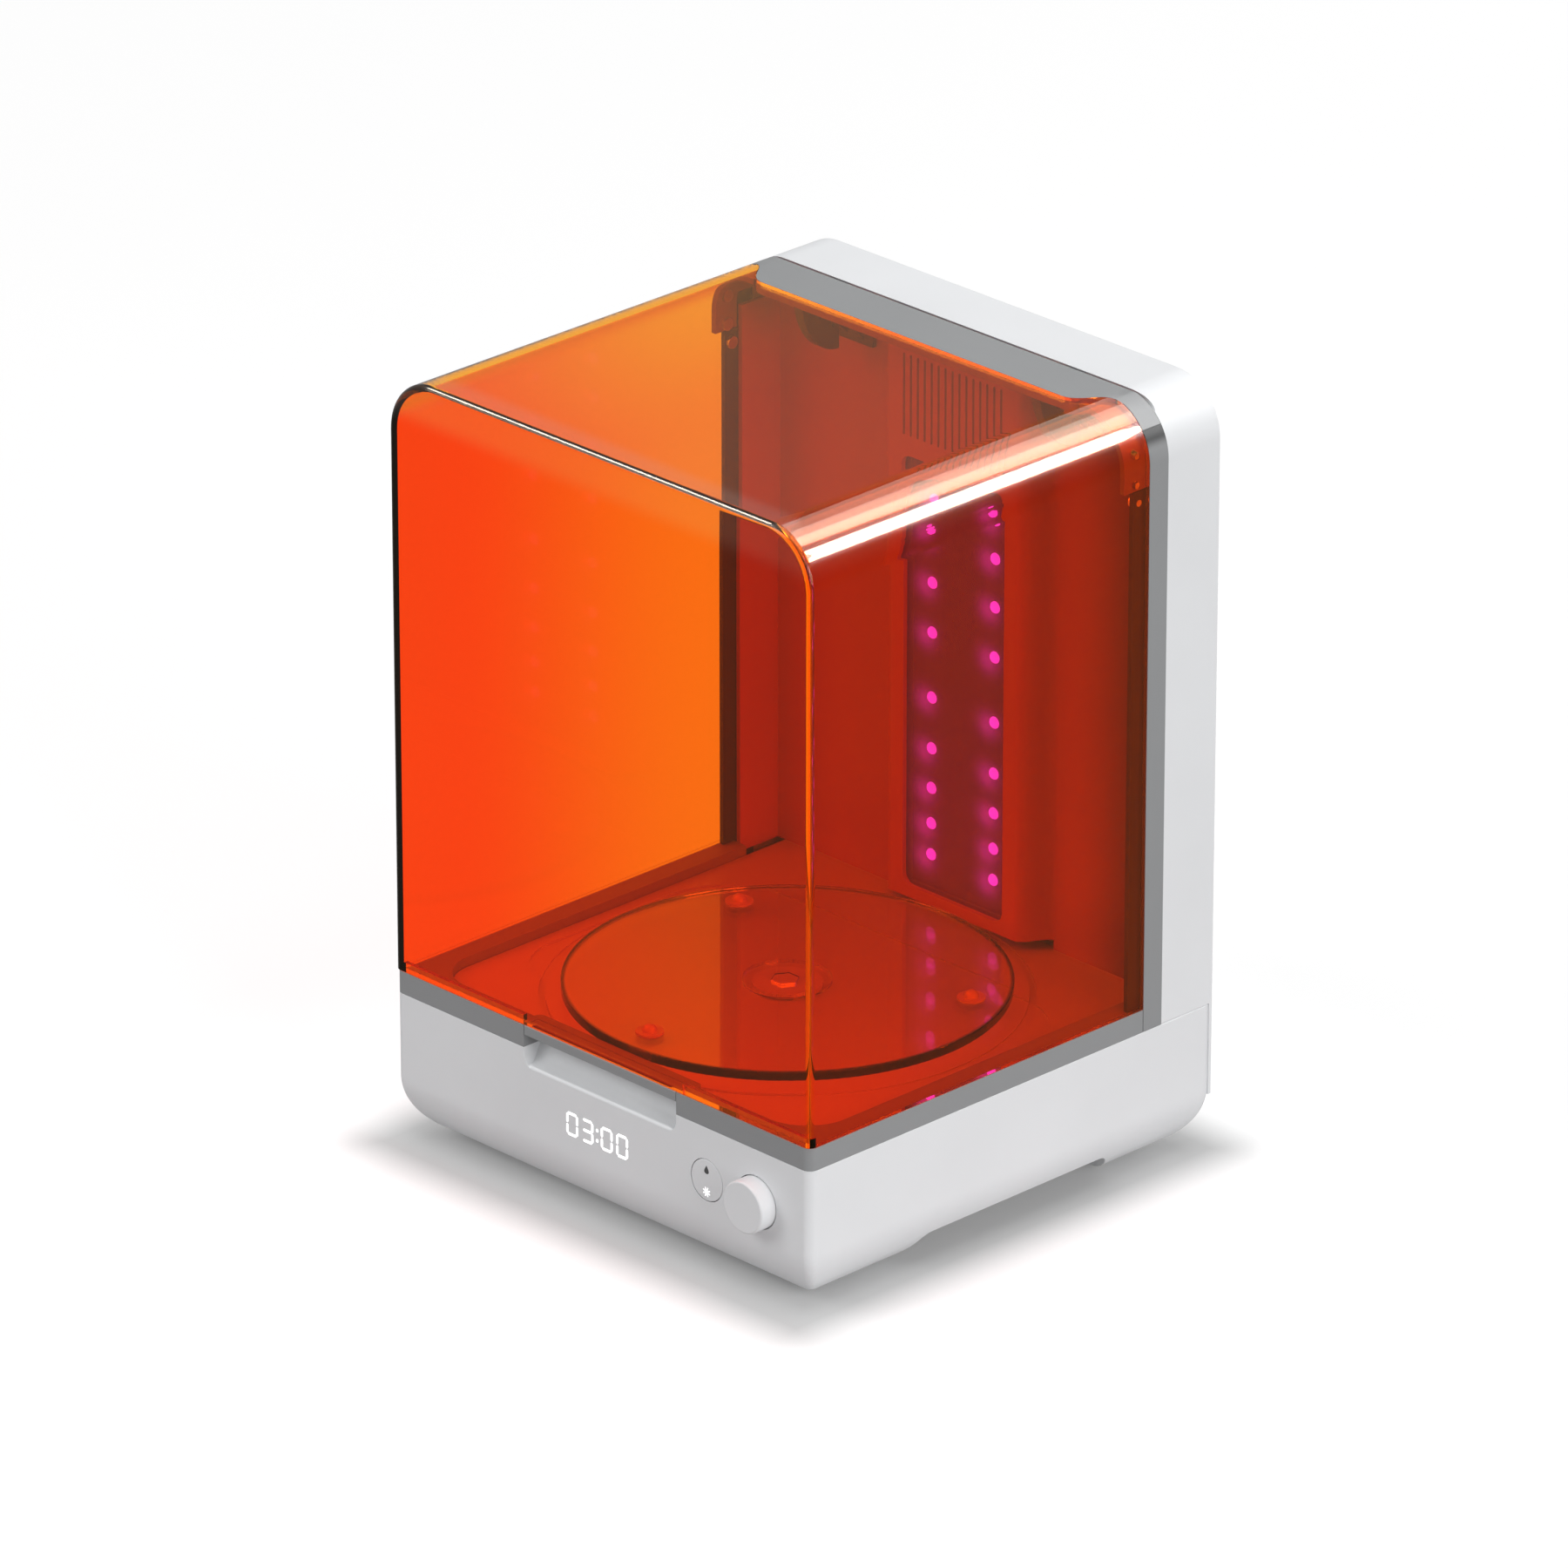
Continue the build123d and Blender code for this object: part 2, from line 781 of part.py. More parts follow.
def hinge_frame():
    """Grey bar over the hood's rear: tongue, top of the bezel and corner lugs."""
    y_end = y_white - run_gap
    low = body_height - top_radius - 6
    ring = along_y(front_view(0, low) - front_view(frame_wall, low - 1), y_bezel, y_end)
    ring = ring & block(-seam_half_width, seam_half_width, y_front, y_back, low, body_height + 1)
    under = body_height - frame_wall
    skin = along_y(front_view(0, low), y_tongue - 1, y_bezel + 1)
    tongue = along_z(tongue_plan(0), under, body_height + 1) & skin
    skirt_low = body_height - tongue_skirt
    skirt = along_z(tongue_plan(0) - tongue_plan(-tongue_skirt_wall), skirt_low, under + 0.5)
    skirt = skirt & block(-half_width, half_width, y_front, y_hood, 0, body_height)
    skirt = skirt & along_y(front_view(hood_wall + 0.4, low), y_tongue - 1, y_bezel)
    frame = ring + tongue + skirt
    # Corner lugs inside the hood, screwed to its side walls
    gap = hood_wall + lug_gap
    lug = along_y(
        front_view(gap, corner_lug_low) - front_view(gap + corner_lug_wall, corner_lug_low - 1),
        y_hood - corner_lug_reach,
        y_hood,
    )
    deep = along_y(
        front_view(gap, corner_lug_low) - front_view(gap + corner_lug_wall, corner_lug_low - 1), y_hood - 1, y_end - 1
    )
    deep = deep & block(-seam_half_width, seam_half_width, y_front, y_back, low + 12, body_height)
    lug = lug + deep
    middle = tongue_half_width + 8
    lug = lug - block(-middle, middle, y_front, y_back, 0, body_height + 1)
    frame = frame + lug
    # Rear edge rounded about the hinge axis, and the groove that holds the eyes
    edge = block(-half_width, half_width, y_hinge, y_white + 1, z_hinge, body_height + 1)
    edge = edge - rod_x(hinge_radius, -half_width, half_width, y_hinge, z_hinge)
    frame = frame - edge
    reach = half_width - top_radius
    y0 = y_hinge - hinge_groove_radius
    frame = frame - block(-reach, reach, y0, y_white + 1, low, z_hinge)
    spread = arm_wall / 2 + run_gap + lug_wall + part_gap
    for x in (-hinge_x, hinge_x):
        frame = frame - rod_x(hinge_groove_radius, x - spread, x + spread, y_hinge, z_hinge)
    for side in (-1, 1):
        x0 = side * half_width
        face = side * lug_face
        y = corner_screw_depth()
        for z in corner_screw_heights():
            frame = frame - rod_x(screw_radius + 0.1, min(0, x0), max(0, x0), y, z)
            frame = frame - rod_x(screw_head_radius + 0.2, min(0, face), max(0, face), y, z)
    return frame


def hinge_arm(side):
    """Quarter-round arm under the tongue, ending in the eye on the pin."""
    y0 = y_tongue + 3.0
    y1 = y_hinge + 1.6
    top = body_height - frame_wall
    low = top - arm_height
    bow = Bezier((y0, top), (y0, top - 0.55 * arm_height), (y1 - 0.55 * arm_depth, low), (y1, low))
    rear = Polyline((y1, low), (y1, z_hinge - 1), (y_hinge - hinge_groove_radius, z_hinge - 1))
    rise = Polyline((y_hinge - hinge_groove_radius, z_hinge - 1), (y_hinge - hinge_groove_radius - 0.2, top))
    roof = Line((y_hinge - hinge_groove_radius - 0.2, top), (y0, top))
    x0 = side * hinge_x - arm_wall / 2
    x1 = side * hinge_x + arm_wall / 2
    arm = along_x(make_face([bow, rear, rise, roof]), x0, x1)
    arm = arm + rod_x(hinge_eye_radius, x0, x1, y_hinge, z_hinge)
    arm = arm - rod_x(hinge_pin_radius + shaft_gap, x0 - 1, x1 + 1, y_hinge, z_hinge)
    for y, z in arm_hole_places():
        arm = arm - rod_x(arm_hole_radius, x0 - 1, x1 + 1, y, z)
    return arm


def arm_hole_places():
    top = body_height - frame_wall
    return (y_hinge - 9.0, top - 11.0), (y_hinge - 1.5, top - 17.0)


def bracket_screw_places():
    """Screw centres of both brackets' feet on the rear wall, as (X, Z)."""
    reach = arm_wall / 2 + run_gap + lug_wall + bracket_margin / 2
    z = z_hinge - bracket_drop - bracket_height / 2
    return [(-hinge_x - reach, z), (-hinge_x + reach, z), (hinge_x - reach, z), (hinge_x + reach, z)]


def hinge_bracket(side):
    """Two ears on a foot that is screwed to the rear wall of the chamber."""
    inner = arm_wall / 2 + run_gap
    outer = inner + lug_wall
    foot_high = z_hinge - bracket_drop
    foot_low = foot_high - bracket_height
    back = y_wall
    y0 = y_hinge - hinge_eye_radius
    slope = radians(-35)
    rear_top = (y_hinge + hinge_eye_radius * cos(slope), z_hinge + hinge_eye_radius * sin(slope))
    ear = Polyline(
        (y0, z_hinge),
        (y0, foot_high),
        (back, foot_low),
        (back, foot_high),
        rear_top,
        (y_hinge, z_hinge),
        (y0, z_hinge),
    )
    centre = side * hinge_x
    reach = outer + bracket_margin
    shape = block(centre - reach, centre + reach, back - bracket_wall, back, foot_low, foot_high)
    for hand in (-1, 1):
        x0 = centre + min(hand * inner, hand * outer)
        x1 = x0 + lug_wall
        shape = shape + along_x(make_face(ear), x0, x1) + rod_x(hinge_eye_radius, x0, x1, y_hinge, z_hinge)
    shape = shape - rod_x(hinge_pin_radius, centre - reach, centre + reach, y_hinge, z_hinge)
    for x, z in bracket_screw_places():
        shape = shape - rod_y(screw_radius + 0.1, back - bracket_wall - 1, back + 1, x, z)
    return shape


def hinge_pins():
    reach = arm_wall / 2 + run_gap + lug_wall
    pins = []
    for side in (-1, 1):
        pins.append(rod_x(hinge_pin_radius, side * hinge_x - reach, side * hinge_x + reach, y_hinge, z_hinge))
    return group(pins)


def hood_screws():
    screws = []
    for side in (-1, 1):
        face = side * lug_face
        for z in corner_screw_heights():
            y = corner_screw_depth()
            head_end = face - side * screw_head_wall
            tip = side * (half_width - hood_wall + 2.2)
            head = rod_x(screw_head_radius, min(face, head_end), max(face, head_end), y, z)
            shank = rod_x(screw_radius, min(face, tip), max(face, tip), y, z)
            screws.append(head + shank)
    return group(screws)


# Column


def side_bezel(side):
    """Upright grey bar beside the chamber, with the lip inside the hood."""
    y_end = y_white
    low_part = corner_lug_low - 0.5
    bar = along_y(front_view(0, base_height) - front_view(bezel_wall, base_height - 1), y_bezel, y_end)
    lower = bar & block(-half_width, half_width, y_front, y_back, 0, low_part)
    upper = along_y(front_view(0, base_height) - front_view(frame_wall, base_height - 1), y_bezel, y_end)
    upper = upper & block(-half_width, half_width, y_front, y_back, low_part - 1, body_height)
    seam = seam_half_width + run_gap
    upper = upper - block(-seam, seam, y_front, y_back, 0, body_height + 1)
    x0 = half_width - bezel_wall
    x1 = half_width - hood_wall - 0.4
    lip = block(x0, x1, y_hood - bezel_lip, y_bezel + 1, z_hood, low_part)
    lip = lip + block(-x1, -x0, y_hood - bezel_lip, y_bezel + 1, z_hood, low_part)
    both = lower + upper + lip
    half = block(0, half_width + 1, y_front, y_back, 0, body_height + 1)
    if side < 0:
        half = block(-half_width - 1, 0, y_front, y_back, 0, body_height + 1)
    bezel = both & half
    hole = rod_x(screw_radius, min(0, side * half_width), max(0, side * half_width), lip_screw_depth(), lip_screw_z())
    return bezel - hole


def lip_screw_depth():
    return y_hood - bezel_lip / 2


def lip_screw_z():
    return corner_lug_low - 6


def lip_screws():
    screws = []
    for side in (-1, 1):
        face = side * (half_width - bezel_wall)
        tip = side * (half_width - hood_wall - 0.4)
        y = lip_screw_depth()
        z = lip_screw_z()
        head_end = face - side * screw_head_wall
        head = rod_x(screw_head_radius, min(face, head_end), max(face, head_end), y, z)
        screws.append(head + rod_x(screw_radius, min(face, tip), max(face, tip), y, z))
    return group(screws)


def column_shell():
    seam = base_height + part_gap
    shell = along_y(front_view(0, seam) - front_view(shell_wall, seam - 1), y_white, y_column)
    sweep = rod_x(hinge_sweep_radius, -seam_half_width, seam_half_width, y_hinge, z_hinge)
    return shell - sweep


def rear_liner():
    """Rear wall of the chamber: side returns, ceiling and the lamp pillar."""
    side_in = bezel_wall + part_gap
    side_out = side_in + liner_wall
    back = y_wall + liner_wall
    low = floor_level
    full = along_y(front_view(side_in, low) - front_view(side_out, low - 1), y_bezel + 0.4, back)
    free = block(-half_width, half_width, y_front, y_wall - 5.5, body_height - top_radius, body_height)
    returns = full - free
    # Plan of the wall: straight, then easing forward onto the pillar
    x1 = pillar_half_width
    x2 = x1 + pillar_flank
    x3 = half_width - side_in - 0.5
    middle = pillar_flank / 2

    def wall_line(shift):
        y_far = y_wall + shift
        y_near = y_pillar + shift
        return [
            Line((-x3, y_far), (-x2, y_far)),
            Bezier((-x2, y_far), (-x2 + middle, y_far), (-x1 - middle, y_near), (-x1, y_near)),
            Line((-x1, y_near), (x1, y_near)),
            Bezier((x1, y_near), (x1 + middle, y_near), (x2 - middle, y_far), (x2, y_far)),
            Line((x2, y_far), (x3, y_far)),
        ]

    ends = [Line((-x3, y_wall), (-x3, back)), Line((x3, y_wall), (x3, back))]
    plan = make_face(wall_line(0) + wall_line(liner_wall) + ends)
    wall = along_z(plan, low, body_height)
    wall = wall & along_y(front_view(side_in, low), y_front, y_back)
    wall = wall - block(-x2, x2, y_front, y_wall - 0.01, 0, low + pillar_foot)
    wall = wall - block(-x2 + 2, x2 - 2, y_front, y_wall + 5, 0, low + pillar_foot)
    # Lamp window with softened rim, and the vent slots above it
    opening = Pos(0, (window_low + window_high) / 2) * RectangleRounded(
        2 * window_half_width, window_high - window_low, window_corner
    )
    wall = wall - along_y(opening, y_pillar - 1, y_pillar + liner_wall + 1)
    for k in range(vent_slots):
        x = (k - (vent_slots - 1) / 2) * vent_pitch
        slot = Pos(x, (vent_low + vent_high) / 2) * RectangleRounded(
            vent_width, vent_high - vent_low, vent_width / 2 - 0.05
        )
        wall = wall - along_y(slot, y_pillar - 1, y_pillar + liner_wall + 1)
    liner = returns + wall
    for x, z in bracket_screw_places():
        liner = liner - rod_y(screw_radius, y_wall - 1, back + 1, x, z)
    return liner


def bracket_screws():
    screws = []
    face = y_wall - bracket_wall
    for x, z in bracket_screw_places():
        head = rod_y(bracket_screw_head, face - screw_head_wall, face, x, z)
        screws.append(head + rod_y(screw_radius, face - 0.1, y_wall + liner_wall, x, z))
    return group(screws)


def lamp_depths():
    """Depths of the window's rear face, the board's front and its rear."""
    glass = y_pillar + liner_wall + window_wall
    board = glass + led_board_gap + 0.4
    return glass, board, board + led_board_wall


def led_window():
    glass, board, rear = lamp_depths()
    sheet = Pos(0, (window_low + window_high) / 2) * RectangleRounded(
        2 * window_half_width + 4, window_high - window_low + 4, window_corner + 2
    )
    return along_y(sheet, glass - window_wall, glass)


def led_board():
    glass, board, rear = lamp_depths()
    return block(-window_half_width, window_half_width, board, rear, window_low, window_high)


def leds():
    glass, board, rear = lamp_depths()
    chips = []
    half = led_size / 2
    for x in (-led_column_x, led_column_x):
        for share in led_shares:
            z = window_low + share * (window_high - window_low)
            chips.append(block(x - half, x + half, board - led_rise, board, z - half, z + half))
    return group(chips)


def heat_sink():
    glass, board, rear = lamp_depths()
    half = window_half_width - 1
    low = window_low + 4
    high = window_high - 4
    sink = block(-half, half, rear, rear + sink_base, low, high)
    pitch = (2 * half - sink_fin_wall) / (sink_fins - 1)
    for k in range(sink_fins):
        x = -half + k * pitch
        sink = sink + block(x, x + sink_fin_wall, rear + sink_base - 0.1, rear + sink_base + sink_depth, low, high)
    return sink


def fan_place():
    """Middle height of the fan and its front face."""
    return (vent_low + vent_high) / 2, y_pillar + liner_wall


def fan_frame():
    z, y0 = fan_place()
    outer = Pos(0, z) * RectangleRounded(fan_size, fan_size, 3)
    frame = along_y(outer - Pos(0, z) * Circle(fan_bore_radius), y0, y0 + fan_depth)
    back = y0 + fan_depth
    spider = rod_y(fan_hub_radius, back - 1.2, back, 0, z)
    for k in range(4):
        bar = Pos(0, (y0 + fan_depth + back - 1.2) / 2, z) * (
            Rot(0, 45 + 90 * k, 0) * Pos(fan_bore_radius / 2, 0, 0) * Box(fan_bore_radius + 1, 1.2, 2.0)
        )
        spider = spider + bar
    axle = rod_y(1.5, back - 3.4, back - 1.1, 0, z)
    return frame + spider + axle


def fan_rotor():
    z, y0 = fan_place()
    back = y0 + fan_depth - 1.2 - run_gap
    front = y0 + 0.6
    hub = rod_y(fan_hub_radius, front, back, 0, z)
    reach = fan_bore_radius - 0.8
    depth = back - front
    blade = Pos((reach + fan_hub_radius) / 2 - 0.5, 0, 0) * (
        Rot(38, 0, 0) * Box(reach - fan_hub_radius + 1, fan_blade_wall, depth * 1.05)
    )
    rotor = hub
    for k in range(fan_blades):
        rotor = rotor + Pos(0, (front + back) / 2, z) * (Rot(0, 360 / fan_blades * k, 0) * blade)
    bore = rod_y(1.5 + shaft_gap, y0 + fan_depth - 3.4 - run_gap, back + 1, 0, z)
    limit = rod_y(reach, front, back, 0, z)
    return (rotor & limit) - bore


def back_panel():
    y0 = y_column
    outline = front_view(0, panel_low)
    panel = along_y(outline, y0, y_back)
    edge = [e for e in panel.edges() if e.center().Y > y_back - 0.01]
    panel = chamfer(edge, 0.5)
    # Upright slots behind the fan
    z = fan_place()[0]
    for k in range(exhaust_slots):
        x = (k - (exhaust_slots - 1) / 2) * exhaust_pitch
        slot = Pos(x, z) * RectangleRounded(exhaust_width, fan_size, exhaust_width / 2 - 0.05)
        panel = panel - along_y(slot, y0 - 1, y_back + 1)
    panel = panel - rod_y(inlet_radius + 1.5, y0 - 1, y_back + 1, inlet_x, inlet_height)
    for x, zz in panel_screw_places():
        panel = panel - rod_y(screw_radius + 0.2, y0 - 1, y_back + 1, x, zz)
        panel = panel - rod_y(screw_head_radius + 0.3, y_back - screw_head_wall, y_back + 1, x, zz)
    return panel


def panel_screw_places():
    x = half_width - panel_screw_inset
    low = panel_low + panel_screw_margin
    high = body_height - panel_screw_margin
    middle = (low + high) / 2
    corner = x - panel_screw_margin
    return [(-x, low), (x, low), (-x, middle), (x, middle), (-corner, high), (corner, high)]


def panel_screws():
    screws = []
    for x, z in panel_screw_places():
        seat = y_back - screw_head_wall
        head = rod_y(screw_head_radius, seat, y_back - 0.2, x, z)
        screws.append(head + rod_y(screw_radius, y_column - 6, seat + 0.1, x, z))
    return group(screws)


def panel_posts():
    """Screw posts behind the panel, standing on the shells' inner walls."""
    inside = along_y(front_view(shell_wall, base_height + 1), y_front, y_back)
    front = y_column - panel_post_depth
    posts = []
    for x, z in panel_screw_places():
        if z < base_height:
            continue
        wall = half_width - shell_wall if x > 0 else -half_width + shell_wall
        rib = block(min(x, wall), max(x, wall), front, y_column, z - 1.2, z + 1.2)
        if z > body_height - top_radius:
            rib = block(x - 1.2, x + 1.2, front, y_column, z, body_height - shell_wall - 0.6)
        post = (rod_y(panel_post_radius, front, y_column, x, z) + rib) & inside
        posts.append(post - rod_y(screw_radius, front + 1, y_column + 1, x, z))
    return group(posts)


# Electronics and controls


def power_inlet():
    face = y_back - panel_wall - shell_wall
    flange = rod_y(inlet_flange, face - 1.8, face, inlet_x, inlet_height)
    barrel = rod_y(inlet_radius, face - inlet_depth, y_back - 0.4, inlet_x, inlet_height)
    bore = rod_y(inlet_radius - 2.2, face - 6, y_back, inlet_x, inlet_height)
    pin = rod_y(1.0, face - 7, y_back - 2, inlet_x, inlet_height)
    return flange + barrel - bore + pin


def main_board_span():
    y1 = y_column - shell_wall - board_edge_gap
    return -main_board_half, main_board_half, y1 - main_board_depth, y1, main_board_level


def main_board():
    x0, x1, y0, y1, z0 = main_board_span()
    board = block(x0, x1, y0, y1, z0, z0 + board_wall)
    top = z0 + board_wall
    low = top - 0.05
    middle = (y0 + y1) / 2
    half = chip_size / 2
    board = board + block(-half, half, middle - half + 2, middle + half + 2, low, top + chip_rise)
    board = board + rod_z(coil_radius, low, top + coil_rise, x1 - 26, middle - 2)
    board = board + block(x0 + 8, x0 + 8 + plug_width, y1 - 4 - plug_depth, y1 - 4, low, top + plug_rise)
    for x in (x0 + 22, x0 + 36):
        board = board + rod_z(can_radius, low, top + can_rise, x, y0 + 2 * can_radius)
    for x, y in board_post_places():
        board = board - rod_z(screw_radius + 0.1, z0 - 1, top + 1, x, y)
    return board


def board_post_places():
    x0, x1, y0, y1, z0 = main_board_span()
    inset = board_post_inset
    return [(x, y) for x in (x0 + inset, x1 - inset) for y in (y0 + inset, y1 - inset)]


def board_posts():
    """Posts on the base's floor, with a pip into each hole of the board."""
    z0 = main_board_span()[-1]
    inside = base_cavity()
    posts = []
    for x, y in board_post_places():
        post = rod_z(board_post_radius, z_cavity - 1, z0, x, y) & inside
        posts.append(post + rod_z(screw_radius, z0 - 0.1, z0 + board_wall + 1, x, y))
    return group(posts)


def board_face():
    """Depth of the control board's front face."""
    return y_front + board_setback


def control_board():
    y0 = board_face()
    x0 = -display_half_width() - 3
    x1 = knob_x + 14
    return block(x0, x1, y0, y0 + board_wall, front_board_low, front_board_high)


def board_clips():
    """Posts that carry the control board on the front wall."""
    inner = y_front + shell_wall
    low = front_board_low + clip_radius + 0.5
    high = front_board_high - clip_radius - 0.5
    middle = (display_half_width() + button_x) / 2
    places = [(-display_half_width() - 0.5, low), (middle, low), (knob_x + 11, low), (middle, high)]
    return group([rod_y(clip_radius, inner, board_face(), x, z) for x, z in places])


def display_module():
    half = display_half_width()
    low = digit_height_centre - digit_height / 2 - 2
    high = digit_height_centre + digit_height / 2 + 2
    face = y_front + digit_window_wall
    return block(-half, half, face, board_face(), low, high)


def encoder():
    y1 = board_face()
    y0 = y1 - encoder_depth
    half = encoder_size / 2
    body = block(knob_x - half, knob_x + half, y0, y1, z_control - half, z_control + half)
    return body - rod_y(encoder_shaft_radius + shaft_gap, y0 - 1, y1 - 0.6, knob_x, z_control)


def encoder_shaft():
    y1 = board_face() - 0.9
    return rod_y(encoder_shaft_radius, y_front - knob_proud + knob_wall, y1, knob_x, z_control)


def knob():
    face = y_front - knob_proud
    rear = y_front + knob_sink - 0.4
    cap = rod_y(knob_radius, face, rear, knob_x, z_control)
    cap = fillet(cap.edges().filter_by(GeomType.CIRCLE).sort_by(Axis.Y)[0], knob_edge)
    hollow = rod_y(knob_radius - knob_wall, face + knob_wall, rear + 1, knob_x, z_control)
    stem = rod_y(encoder_shaft_radius + 2, face + knob_wall - 0.5, rear, knob_x, z_control)
    bore = rod_y(encoder_shaft_radius, face + knob_wall, rear + 1, knob_x, z_control)
    return (cap - hollow) + stem - bore


def mode_button():
    cap = rod_y(button_radius, y_front, y_front + button_wall, button_x, z_control)
    cap = fillet(cap.edges().filter_by(GeomType.CIRCLE).sort_by(Axis.Y)[0], 0.4)
    end = y_front + button_wall + button_stem
    return cap + rod_y(button_stem_radius, y_front + 1, end, button_x, z_control)


def button_switch():
    y1 = board_face()
    y0 = y1 - switch_depth
    half = switch_size / 2
    return block(button_x - half, button_x + half, y0, y1, z_control - half, z_control + half)


def button_guide():
    """Sleeve behind the front wall that keeps the button's stem straight."""
    y0 = y_front + button_wall + button_travel + run_gap
    y1 = y0 + 1.2
    outer = rod_y(button_radius + 3, y_front + shell_wall, y1, button_x, z_control)
    inner = rod_y(button_radius + button_gap + 0.3, y_front, y0, button_x, z_control)
    bore = rod_y(button_stem_radius + 0.25, y_front, y1 + 1, button_x, z_control)
    return outer - inner - bore


def lid_sensor():
    """Reed switch behind the scoop's wall, across from the magnet."""
    y0 = y_front + recess_reach + shell_wall
    half = lid_sensor_size / 2
    return block(-half, half, y0, y0 + lid_sensor_wall, recess_low, recess_low + half)


def lid_bumpers():
    """Soft dots on the band that the closed hood comes down on."""
    front_x = half_width - panel_screw_inset
    side_x = half_width - hood_wall / 2
    pads = []
    for side in (-1, 1):
        for x, y in ((front_x, y_front + hood_wall / 2), (side_x, y_hood - bezel_lip - 1)):
            pads.append(rod_z(bumper_radius, z_deck, z_hood - 0.05, side * x, y))
    return group(pads)


save("base_shell", base_shell())
save("bottom_plate", bottom_plate())
save("plate_screws", plate_screws())
save("rubber_feet", rubber_feet())
save("deck_band", deck_band())
save("chamber_floor", chamber_floor())
save("turntable_disc", turntable_disc())
save("turntable_hub", turntable_hub())
save("turntable_pegs", turntable_pegs())
save("drive_spindle", drive_spindle())
save("motor_bracket", motor_bracket())
save("hub_bearing", hub_bearing())
save("drive_motor", drive_motor())
save("hood", hood())
save("hood_handle", hood_handle())
save("hood_screws", hood_screws())
save("lid_magnet", lid_magnet())
save("hinge_frame", hinge_frame())
for label, side in (("left", -1), ("right", 1)):
    save("hinge_arm_" + label, hinge_arm(side))
    save("hinge_bracket_" + label, hinge_bracket(side))
    save("side_bezel_" + label, side_bezel(side))
save("hinge_pins", hinge_pins())
save("bracket_screws", bracket_screws())
save("lip_screws", lip_screws())
save("column_shell", column_shell())
save("rear_liner", rear_liner())
save("led_window", led_window())
save("led_board", led_board())
save("leds", leds())
save("heat_sink", heat_sink())
save("fan_frame", fan_frame())
save("fan_rotor", fan_rotor())
save("back_panel", back_panel())
save("panel_screws", panel_screws())
save("panel_posts", panel_posts())
save("power_inlet", power_inlet())
save("main_board", main_board())
save("board_posts", board_posts())
save("control_board", control_board())
save("board_clips", board_clips())
save("display_module", display_module())
save("encoder", encoder())
save("encoder_shaft", encoder_shaft())
save("knob", knob())
save("mode_button", mode_button())
save("button_guide", button_guide())
save("button_switch", button_switch())
save("lid_sensor", lid_sensor())
save("lid_bumpers", lid_bumpers())
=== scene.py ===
import json
import math

import bmesh
import bpy
import numpy as np
from bpy.props import FloatProperty, FloatVectorProperty, IntProperty, PointerProperty
from bpy.types import Operator, Panel, PropertyGroup
from mathutils import Matrix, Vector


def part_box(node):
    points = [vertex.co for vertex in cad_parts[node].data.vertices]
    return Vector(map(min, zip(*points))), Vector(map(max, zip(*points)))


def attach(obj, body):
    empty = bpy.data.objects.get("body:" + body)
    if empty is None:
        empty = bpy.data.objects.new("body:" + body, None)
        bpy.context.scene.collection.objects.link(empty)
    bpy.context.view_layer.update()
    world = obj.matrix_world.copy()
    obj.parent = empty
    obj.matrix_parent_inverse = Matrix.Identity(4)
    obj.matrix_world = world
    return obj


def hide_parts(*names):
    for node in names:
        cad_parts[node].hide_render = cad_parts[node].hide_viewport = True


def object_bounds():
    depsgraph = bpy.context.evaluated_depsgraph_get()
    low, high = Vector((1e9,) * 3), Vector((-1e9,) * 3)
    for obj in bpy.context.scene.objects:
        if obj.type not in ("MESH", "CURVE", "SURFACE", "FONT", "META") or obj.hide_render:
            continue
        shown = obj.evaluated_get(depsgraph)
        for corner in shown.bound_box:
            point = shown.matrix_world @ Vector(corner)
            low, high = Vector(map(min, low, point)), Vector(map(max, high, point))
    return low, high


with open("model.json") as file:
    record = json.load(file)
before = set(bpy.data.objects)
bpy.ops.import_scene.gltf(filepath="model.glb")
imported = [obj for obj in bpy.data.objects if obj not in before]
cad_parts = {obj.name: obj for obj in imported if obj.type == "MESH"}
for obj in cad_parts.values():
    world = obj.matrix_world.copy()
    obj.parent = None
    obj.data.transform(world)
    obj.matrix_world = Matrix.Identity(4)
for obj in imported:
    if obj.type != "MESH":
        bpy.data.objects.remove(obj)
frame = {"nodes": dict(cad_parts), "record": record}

bl_info = {
    "name": "Curing station",
    "version": (1, 0, 0),
    "blender": (4, 5, 0),
    "location": "3D Viewport > Sidebar > Station",
    "description": "Dresses the packed curing station: finishes, timer digits, icons, lamp lenses and stage",
    "category": "Object",
}

MM = 0.001
BOX_LOW, BOX_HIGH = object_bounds()

# Camera of the photograph, fitted to the long edges of the body
CAMERA_PLACE = (3.52907, -3.45867, 2.35810)
CAMERA_DIP = 23.91  # degrees below level
CAMERA_TURN = 45.64  # degrees round from the front
CAMERA_LENS = 296.3

